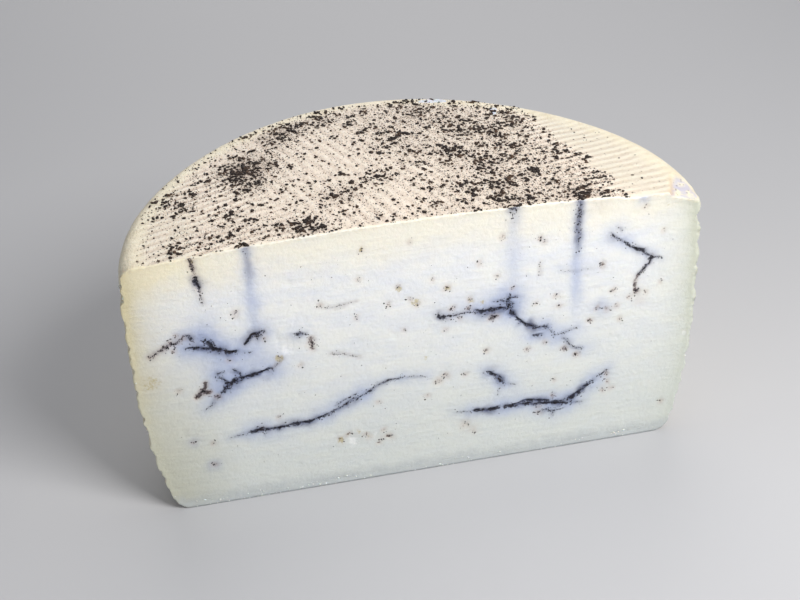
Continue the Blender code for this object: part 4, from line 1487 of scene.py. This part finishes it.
class NodeBench:
    """A material's node tree, and the one way in which nodes are added to it."""

    def __init__(self, name: str) -> None:
        """Make a material with a Principled shader.

        Args:
            name: The material's name.
        """
        self.material = bpy.data.materials.new(name)
        self.material.use_nodes = True
        self.tree = self.material.node_tree
        self.shader = self.tree.nodes["Principled BSDF"]
        self.places = self.add("ShaderNodeTexCoord", {}, {}, "Object")

    @staticmethod
    def pick(sockets: Any, key: Any) -> bpy.types.NodeSocket:
        """Find a socket by its place, its identifier or its name."""
        if isinstance(key, int):
            return sockets[key]
        exact = [socket for socket in sockets if socket.identifier == key]
        return exact[0] if exact else sockets[key]

    def add(self, kind: str, settings: dict[str, Any], values: dict[Any, Any],
            output: Any = 0) -> Signal:
        """Add a node.

        Args:
            kind: The node's type.
            settings: Its settings, set first.
            values: Values or signals for its sockets.
            output: Which output to return.

        Returns:
            The output as a signal.
        """
        node = self.tree.nodes.new(kind)
        for name, value in settings.items():
            setattr(node, name, value)
        for key, value in values.items():
            self.feed(self.pick(node.inputs, key), value)
        return Signal(self, self.pick(node.outputs, output))

    def feed(self, socket: bpy.types.NodeSocket, value: Any) -> None:
        """Give a socket a value or link a signal to it."""
        if isinstance(value, Signal):
            self.tree.links.new(value.socket, socket)
        elif isinstance(value, tuple) and len(value) == 3 and socket.type == "RGBA":
            socket.default_value = (*value, 1.0)
        else:
            socket.default_value = value

    def field(self, name: str) -> Signal:
        """Read a number that was painted on the mesh."""
        return self.add("ShaderNodeAttribute", {"attribute_name": name}, {}, "Fac")

    def noise(self, size: float, detail: float = 3.0, stretch: tuple = (1.0, 1.0, 1.0),
              rough: float = 0.55) -> Signal:
        """Make cloudy noise from 0 to 1.

        Args:
            size: Size of its blotches in millimetres.
            detail: How many finer layers it has.
            stretch: How much longer the blotches are along each axis.
            rough: How strong the finer layers are.

        Returns:
            The noise.
        """
        scale = tuple(1.0 / length for length in stretch)
        places = self.add("ShaderNodeMapping", {}, {"Vector": self.places, "Scale": scale})
        return self.add("ShaderNodeTexNoise", {}, {
            "Vector": places, "Scale": 1.0 / (METRE * size), "Detail": detail, "Roughness": rough})

    def place(self, axis: str) -> Signal:
        """Read where a point lies along the X, Y or Z axis, in metres."""
        return self.add("ShaderNodeSeparateXYZ", {}, {"Vector": self.places}, axis)

    def cells(self, size: float) -> Signal:
        """Make the distance to scattered points, about a size apart in millimetres."""
        return self.add("ShaderNodeTexVoronoi", {}, {
            "Vector": self.places, "Scale": 1.0 / (METRE * size)}, "Distance")

    def mix(self, share: Any, below: Any, above: Any) -> Signal:
        """Mix two colours by a share."""
        return self.add("ShaderNodeMix", {"data_type": "RGBA"}, {
            "Factor_Float": share, "A_Color": below, "B_Color": above}, "Result_Color")

    def bump(self, height: Signal, depth: float, before: Any = None) -> Signal:
        """Turn a height from 0 to 1 into a normal, a depth in millimetres tall."""
        values = {"Height": height, "Distance": METRE * depth, "Strength": 1.0}
        if before is not None:
            values["Normal"] = before
        return self.add("ShaderNodeBump", {}, values)

    def finish(self, colour: Any, roughness: Any, normal: Any, **constants: Any) -> bpy.types.Material:
        """Feed the shader and return the material.

        Args:
            colour: Base colour.
            roughness: Roughness.
            normal: Normal, or None.
            **constants: Values for other sockets, their names with _ for a space.

        Returns:
            The material.
        """
        self.feed(self.shader.inputs["Base Color"], colour)
        self.feed(self.shader.inputs["Roughness"], roughness)
        if normal is not None:
            self.feed(self.shader.inputs["Normal"], normal)
        for name, value in constants.items():
            self.shader.inputs[name.replace("_", " ")].default_value = value
        return self.material


def shade(red: int, green: int, blue: int) -> Colour:
    """Turn a colour as it looks on a screen, 0 to 255, into the linear one of a shader."""
    return tuple((part / 255.0 / 12.92) if part / 255.0 <= 0.04045
                 else ((part / 255.0 + 0.055) / 1.055) ** 2.4 for part in (red, green, blue))


@dataclass(frozen=True)
class PasteNoises:
    """Noises that several parts of the paste's finish share: cloudy, fine and mottled."""

    soft: Signal
    fine: Signal
    mottle: Signal


@dataclass(frozen=True)
class PasteFinish:
    """Colours of the cheese: cut paste, its rind, what stains them and the shade painted on them."""

    core: Colour = shade(234, 236, 239)
    cloud: Colour = shade(243, 243, 238)
    # deep: painted shade, the colour that the cut darkens to towards its bottom
    deep: Colour = shade(210, 215, 208)
    warm: Colour = shade(250, 241, 214)
    left_edge: Colour = shade(216, 205, 168)
    right_edge: Colour = shade(207, 209, 192)
    # Greener grey of the foot together with painted shade along the bottom of the cut
    foot_tone_and_shade: Colour = shade(187, 192, 192)
    # Yellower tone of the lower left corner together with painted shade there
    corner_tone_and_shade: Colour = shade(186, 185, 162)
    # lip: the upper edge's cream-yellow band, darkened as painted shade over the rounded edge's highlight
    lip: Colour = shade(206, 187, 158)
    blue: Colour = shade(158, 174, 212)
    bruise: Colour = shade(66, 72, 104)
    ink: Colour = shade(28, 27, 40)
    stain: Colour = shade(188, 164, 146)
    brown: Colour = shade(74, 52, 42)
    yellow: Colour = shade(184, 166, 92)
    pale: Colour = shade(253, 252, 250)
    top: Colour = shade(248, 236, 218)
    # Valley colours: painted shade in the valleys between the top's ridges
    top_valley_shade: Colour = shade(224, 206, 188)
    bare: Colour = shade(230, 222, 203)
    bare_valley_shade: Colour = shade(213, 200, 180)
    top_dusty: Colour = shade(192, 175, 160)
    side: Colour = shade(240, 231, 203)
    valley: Colour = shade(224, 211, 176)
    chip: Colour = shade(192, 189, 206)
    wall: Colour = shade(214, 184, 142)
    dust: Colour = shade(48, 36, 28)

    def material(self) -> bpy.types.Material:
        """Build the finish."""
        bench = NodeBench("cheese_paste")
        cut = bench.field("cut")
        noises = PasteNoises(bench.noise(14.0), bench.noise(1.3, 4.0, rough=0.65), bench.noise(4.5, 4.0))
        cut_colour = self.stained(bench, self.paste(bench, noises))
        colour = bench.mix(cut, self.rind(bench, noises), cut_colour)
        rough = 0.46 + 0.16 * noises.mottle - 0.10 * cut
        normal = bench.bump(noises.fine, 0.22)
        normal = bench.bump(bench.noise(0.8) * (1.0 - cut), 0.30, normal)
        normal = bench.bump(bench.noise(1.6, stretch=(7.0, 1.0, 1.0)) * cut, 0.16, normal)
        return bench.finish(colour, rough, normal, Subsurface_Weight=0.22, Subsurface_Scale=0.0025,
                            Subsurface_Radius=(1.0, 0.85, 0.65), Specular_IOR_Level=0.42,
                            Coat_Weight=0.04)

    def paste(self, bench: NodeBench, noises: PasteNoises) -> Signal:
        """Colour the clean paste: cloudy core, warm top, edges, and painted shade that darkens it towards
        the foot.

        Args:
            bench: The tree to build on.
            noises: The noises that the finish shares.

        Returns:
            The colour.
        """
        high, right, soft, mottle = bench.place("Z"), bench.place("X"), noises.soft, noises.mottle
        streak = bench.noise(5.0, 4.0, (2.4, 1.0, 1.0))
        paste = bench.mix(streak.step(0.32, 0.68), self.core, self.cloud)
        upper = (high + 0.014 * (soft - 0.5)).step(0.078, 0.094)
        left = (0.02 * (soft - 0.5) - right).step(0.052, 0.088)
        paste = bench.mix((upper * (0.55 + 0.75 * left)).clamped(), paste, self.warm)
        edge_colour = bench.mix((right + 0.01 * soft).step(-0.02, 0.04), self.left_edge, self.right_edge)
        rim = bench.field("rim") * (0.77 + 0.66 * mottle)
        paste = bench.mix(rim.clamped(), paste, edge_colour)
        # Painted shade: the cut darkens from near its top down towards its bottom
        deep = 1.0 - (high + 0.02 * (soft - 0.5)).step(0.004, 0.085)
        paste = bench.mix(0.72 * deep, paste, self.deep)
        # Lower left corner: its yellower tone together with painted shade
        corner = deep * (0.012 * (soft - 0.5) - right).step(0.056, 0.084)
        paste = bench.mix(0.55 * corner, paste, self.corner_tone_and_shade)
        # The foot's own greener grey together with painted shade along the bottom of the cut
        low = 1.0 - (high + 0.006 * (mottle - 0.5)).step(0.0005, 0.0072)
        paste = bench.mix(0.78 * low, paste, self.foot_tone_and_shade)
        # Upper edge band: its own cream-yellow tone and painted shade that dims the rounded edge's
        # highlight
        lip = bench.field("lip") * bench.noise(1.8).step(0.38, 0.62)
        return bench.mix(0.35 * lip, paste, self.lip)

    def stained(self, bench: NodeBench, paste: Signal) -> Signal:
        """Stain the paste with blue, brown, yellow and pale patches, shadow and truffle ink.

        Args:
            bench: The tree to build on.
            paste: The clean paste's colour.

        Returns:
            The colour.
        """
        halo = (bench.field("halo") * (0.72 + 0.55 * bench.noise(2.6))).clamped()
        paste = bench.mix(0.80 * halo, paste, self.blue)
        paste = bench.mix(bench.field("brown") * (0.3 + 0.7 * bench.noise(1.2)), paste, self.stain)
        for name, colour, size, low_end, high_end, strength in (
                ("pale", self.pale, 1.6, 0.30, 0.95, 0.45), ("yellow", self.yellow, 0.9, 0.30, 0.75, 0.60),
                ("brown", self.brown, 0.6, 0.58, 0.80, 0.85)):
            patch = bench.field(name) * (1.0 + 4.0 * (bench.noise(size, 4.0, rough=0.7) - 0.5))
            paste = bench.mix(strength * patch.step(low_end, high_end), paste, colour)
        blur = bench.field("blur") * (0.45 + 0.9 * bench.noise(1.8))
        paste = bench.mix((0.95 * blur).clamped(), paste, self.bruise)
        grain = 6.0 * (bench.noise(0.8, 4.0, rough=0.75) - 0.5) + 4.5 * (bench.noise(1.9) - 0.5)
        ink = bench.field("ink") * (1.0 + grain)
        return bench.mix(0.93 * ink.step(0.60, 0.92), paste, self.ink)

    def rind(self, bench: NodeBench, noises: PasteNoises) -> Signal:
        """Colour the side, and the top with painted shade between its ridges, its dust and the broken
        corner.

        Args:
            bench: The tree to build on.
            noises: The noises that the finish shares.

        Returns:
            The colour.
        """
        fine, mottle, dusty, chip = noises.fine, noises.mottle, bench.field("dust"), bench.field("chip")
        # Painted shade: the top darker in the valleys between its ridges
        crest = (bench.field("crest") + 0.8 * (fine - 0.5)).step(0.2, 0.8)
        bare = 1.0 - (dusty + 0.16 * noises.soft).step(0.06, 0.24)
        top = bench.mix(crest, bench.mix(bare, self.top_valley_shade, self.bare_valley_shade),
                        bench.mix(bare, self.top, self.bare))
        top = bench.mix((1.05 * dusty * (0.3 + mottle)).clamped(), top, self.top_dusty)
        for size, low_end, strength in ((1.1, 0.30, 0.92), (0.55, 0.34, 0.85)):
            speck = 1.0 - (bench.cells(size) + 0.5 * (fine - 0.5)).step(low_end - 0.16, low_end)
            present = (bench.noise(2.2 * size) + 0.8 * dusty - 0.16 * crest).step(0.54, 0.66)
            top = bench.mix(strength * speck * present, top, self.dust)
        wear = bench.noise(6.0, 4.0, (1.0, 1.0, 0.5))
        side = bench.mix(wear.step(0.4, 0.75), self.side, self.valley)
        rind = bench.mix(bench.field("top"), side, top)
        broken = bench.mix(bench.noise(3.0, 4.0).step(0.42, 0.7), self.chip, self.side)
        rind = bench.mix(0.85 * chip, rind, broken)
        grit = 1.0 - (bench.cells(1.2) + 0.5 * (fine - 0.5)).step(0.14, 0.26)
        rind = bench.mix(0.6 * grit * chip, rind, self.dust)
        return bench.mix(bench.field("wall") * (0.2 + mottle), rind, self.wall)


class TruffleTone(Enum):
    """Which truffle a finish is for: colours of its dark and its lighter grains."""

    TOP = (shade(42, 33, 29), shade(110, 84, 64))
    CUT = (shade(20, 18, 24), shade(74, 58, 50))


@dataclass(frozen=True)
class TruffleFinish:
    """Dull dark crumb, browner here and there."""

    tone: TruffleTone

    def material(self) -> bpy.types.Material:
        """Build the finish."""
        dark, light = self.tone.value
        bench = NodeBench("truffle_" + self.tone.name.lower())
        patch = bench.noise(3.2).step(0.48, 0.70)
        grain = bench.noise(0.35)
        colour = bench.mix(patch * grain, dark, light)
        normal = bench.bump(grain, 0.10)
        return bench.finish(colour, 0.55 + 0.3 * grain, normal, Specular_IOR_Level=0.3)


@dataclass(frozen=True)
class CrumbFinish:
    """Pale crumbs of paste."""

    light: Colour = shade(240, 240, 234)
    deep: Colour = shade(216, 213, 200)

    def material(self) -> bpy.types.Material:
        """Build the finish."""
        bench = NodeBench("paste_crumb")
        grain = bench.noise(0.9)
        colour = bench.mix(grain.step(0.35, 0.7), self.light, self.deep)
        return bench.finish(colour, 0.5 + 0.2 * grain, bench.bump(grain, 0.12),
                            Subsurface_Weight=0.2, Subsurface_Scale=0.0015)


@dataclass(frozen=True)
class Light:
    """A soft square light: where it stands, what it faces, its size and its power."""

    name: str
    place: tuple[float, float, float]
    target: tuple[float, float, float]
    size: float
    power: float
    colour: Colour


LIGHTS = (
    Light("key_light", (0.25, -0.38, 0.48), (0.01, -0.02, 0.06), 0.26, 3.8, (1.0, 0.99, 0.98)),
    Light("top_light", (0.10, 0.45, 0.85), (0.0, 0.0, 0.09), 0.70, 2.3, (1.0, 0.97, 0.93)),
    Light("fill_light", (-0.75, -0.55, 0.45), (0.0, 0.0, 0.05), 0.60, 0.9, (0.95, 0.97, 1.0)),
    Light("back_light", (0.15, 0.95, 0.38), (0.0, 0.03, 0.05), 0.80, 3.0, (1.0, 0.98, 0.95)),
)


@dataclass(frozen=True)
class Studio:
    """Pale floor, soft lights, and the camera at the photograph's angle, in metres."""

    floor_side: float = 6.0
    floor_colour: Colour = (0.52, 0.52, 0.53)
    world_colour: Colour = (0.80, 0.86, 1.0)
    world_strength: float = 0.20
    camera_place: tuple[float, float, float] = (-0.06322, -0.38409, 0.29624)
    camera_right: tuple[float, float, float] = (0.9797, -0.1954, -0.0451)
    camera_up: tuple[float, float, float] = (0.1453, 0.5366, 0.8312)
    lens: float = 59.48

    def floor(self) -> None:
        """Lay the floor."""
        shape = bmesh.new()
        bmesh.ops.create_grid(shape, x_segments=1, y_segments=1, size=0.5 * self.floor_side)
        mesh = bpy.data.meshes.new("floor")
        shape.to_mesh(mesh)
        shape.free()
        bench = NodeBench("floor")
        mesh.materials.append(bench.finish(self.floor_colour, 0.8, None))
        item = bpy.data.objects.new("floor", mesh)
        bpy.context.scene.collection.objects.link(item)

    def lights(self) -> None:
        """Hang the lights and light the surroundings."""
        for light in LIGHTS:
            data = bpy.data.lights.new(light.name, "AREA")
            data.size = light.size
            data.energy = light.power
            data.color = light.colour
            item = bpy.data.objects.new(light.name, data)
            item.location = light.place
            aim = Vector(light.target) - Vector(light.place)
            item.rotation_euler = aim.to_track_quat("-Z", "Y").to_euler()
            bpy.context.scene.collection.objects.link(item)
        world = bpy.data.worlds.new("studio")
        world.use_nodes = True
        background = world.node_tree.nodes["Background"]
        background.inputs["Color"].default_value = (*self.world_colour, 1.0)
        background.inputs["Strength"].default_value = self.world_strength
        bpy.context.scene.world = world

    def camera(self) -> None:
        """Set the camera up."""
        data = bpy.data.cameras.new("camera")
        data.lens = self.lens
        item = bpy.data.objects.new("camera", data)
        right = Vector(self.camera_right).normalized()
        back = right.cross(Vector(self.camera_up)).normalized()
        up = back.cross(right)
        turn = Matrix((right, up, back)).transposed().to_4x4()
        item.matrix_world = Matrix.Translation(self.camera_place) @ turn
        bpy.context.scene.collection.objects.link(item)
        bpy.context.scene.camera = item

    def build(self) -> None:
        """Set the whole studio up."""
        self.floor()
        self.lights()
        self.camera()
        bpy.context.scene.view_settings.view_transform = "Standard"


def corners(box: tuple[Vector, Vector]) -> list[list[float]]:
    """Turn a box's two corners into plain lists."""
    return [[float(part) for part in corner] for corner in box]


def main() -> None:
    """Build the cheese and its surroundings."""
    logging.basicConfig(level=logging.INFO, format="%(name)s: %(message)s")
    Studio().build()
    paste = PasteFinish().material()
    body = CheeseBody().build(paste)
    TopTruffle().build(TruffleFinish(TruffleTone.TOP).material())
    CutTruffle().build(body, TruffleFinish(TruffleTone.CUT).material())
    EdgeCrumbs().build(CrumbFinish().material())


if __name__ == "__main__":
    main()
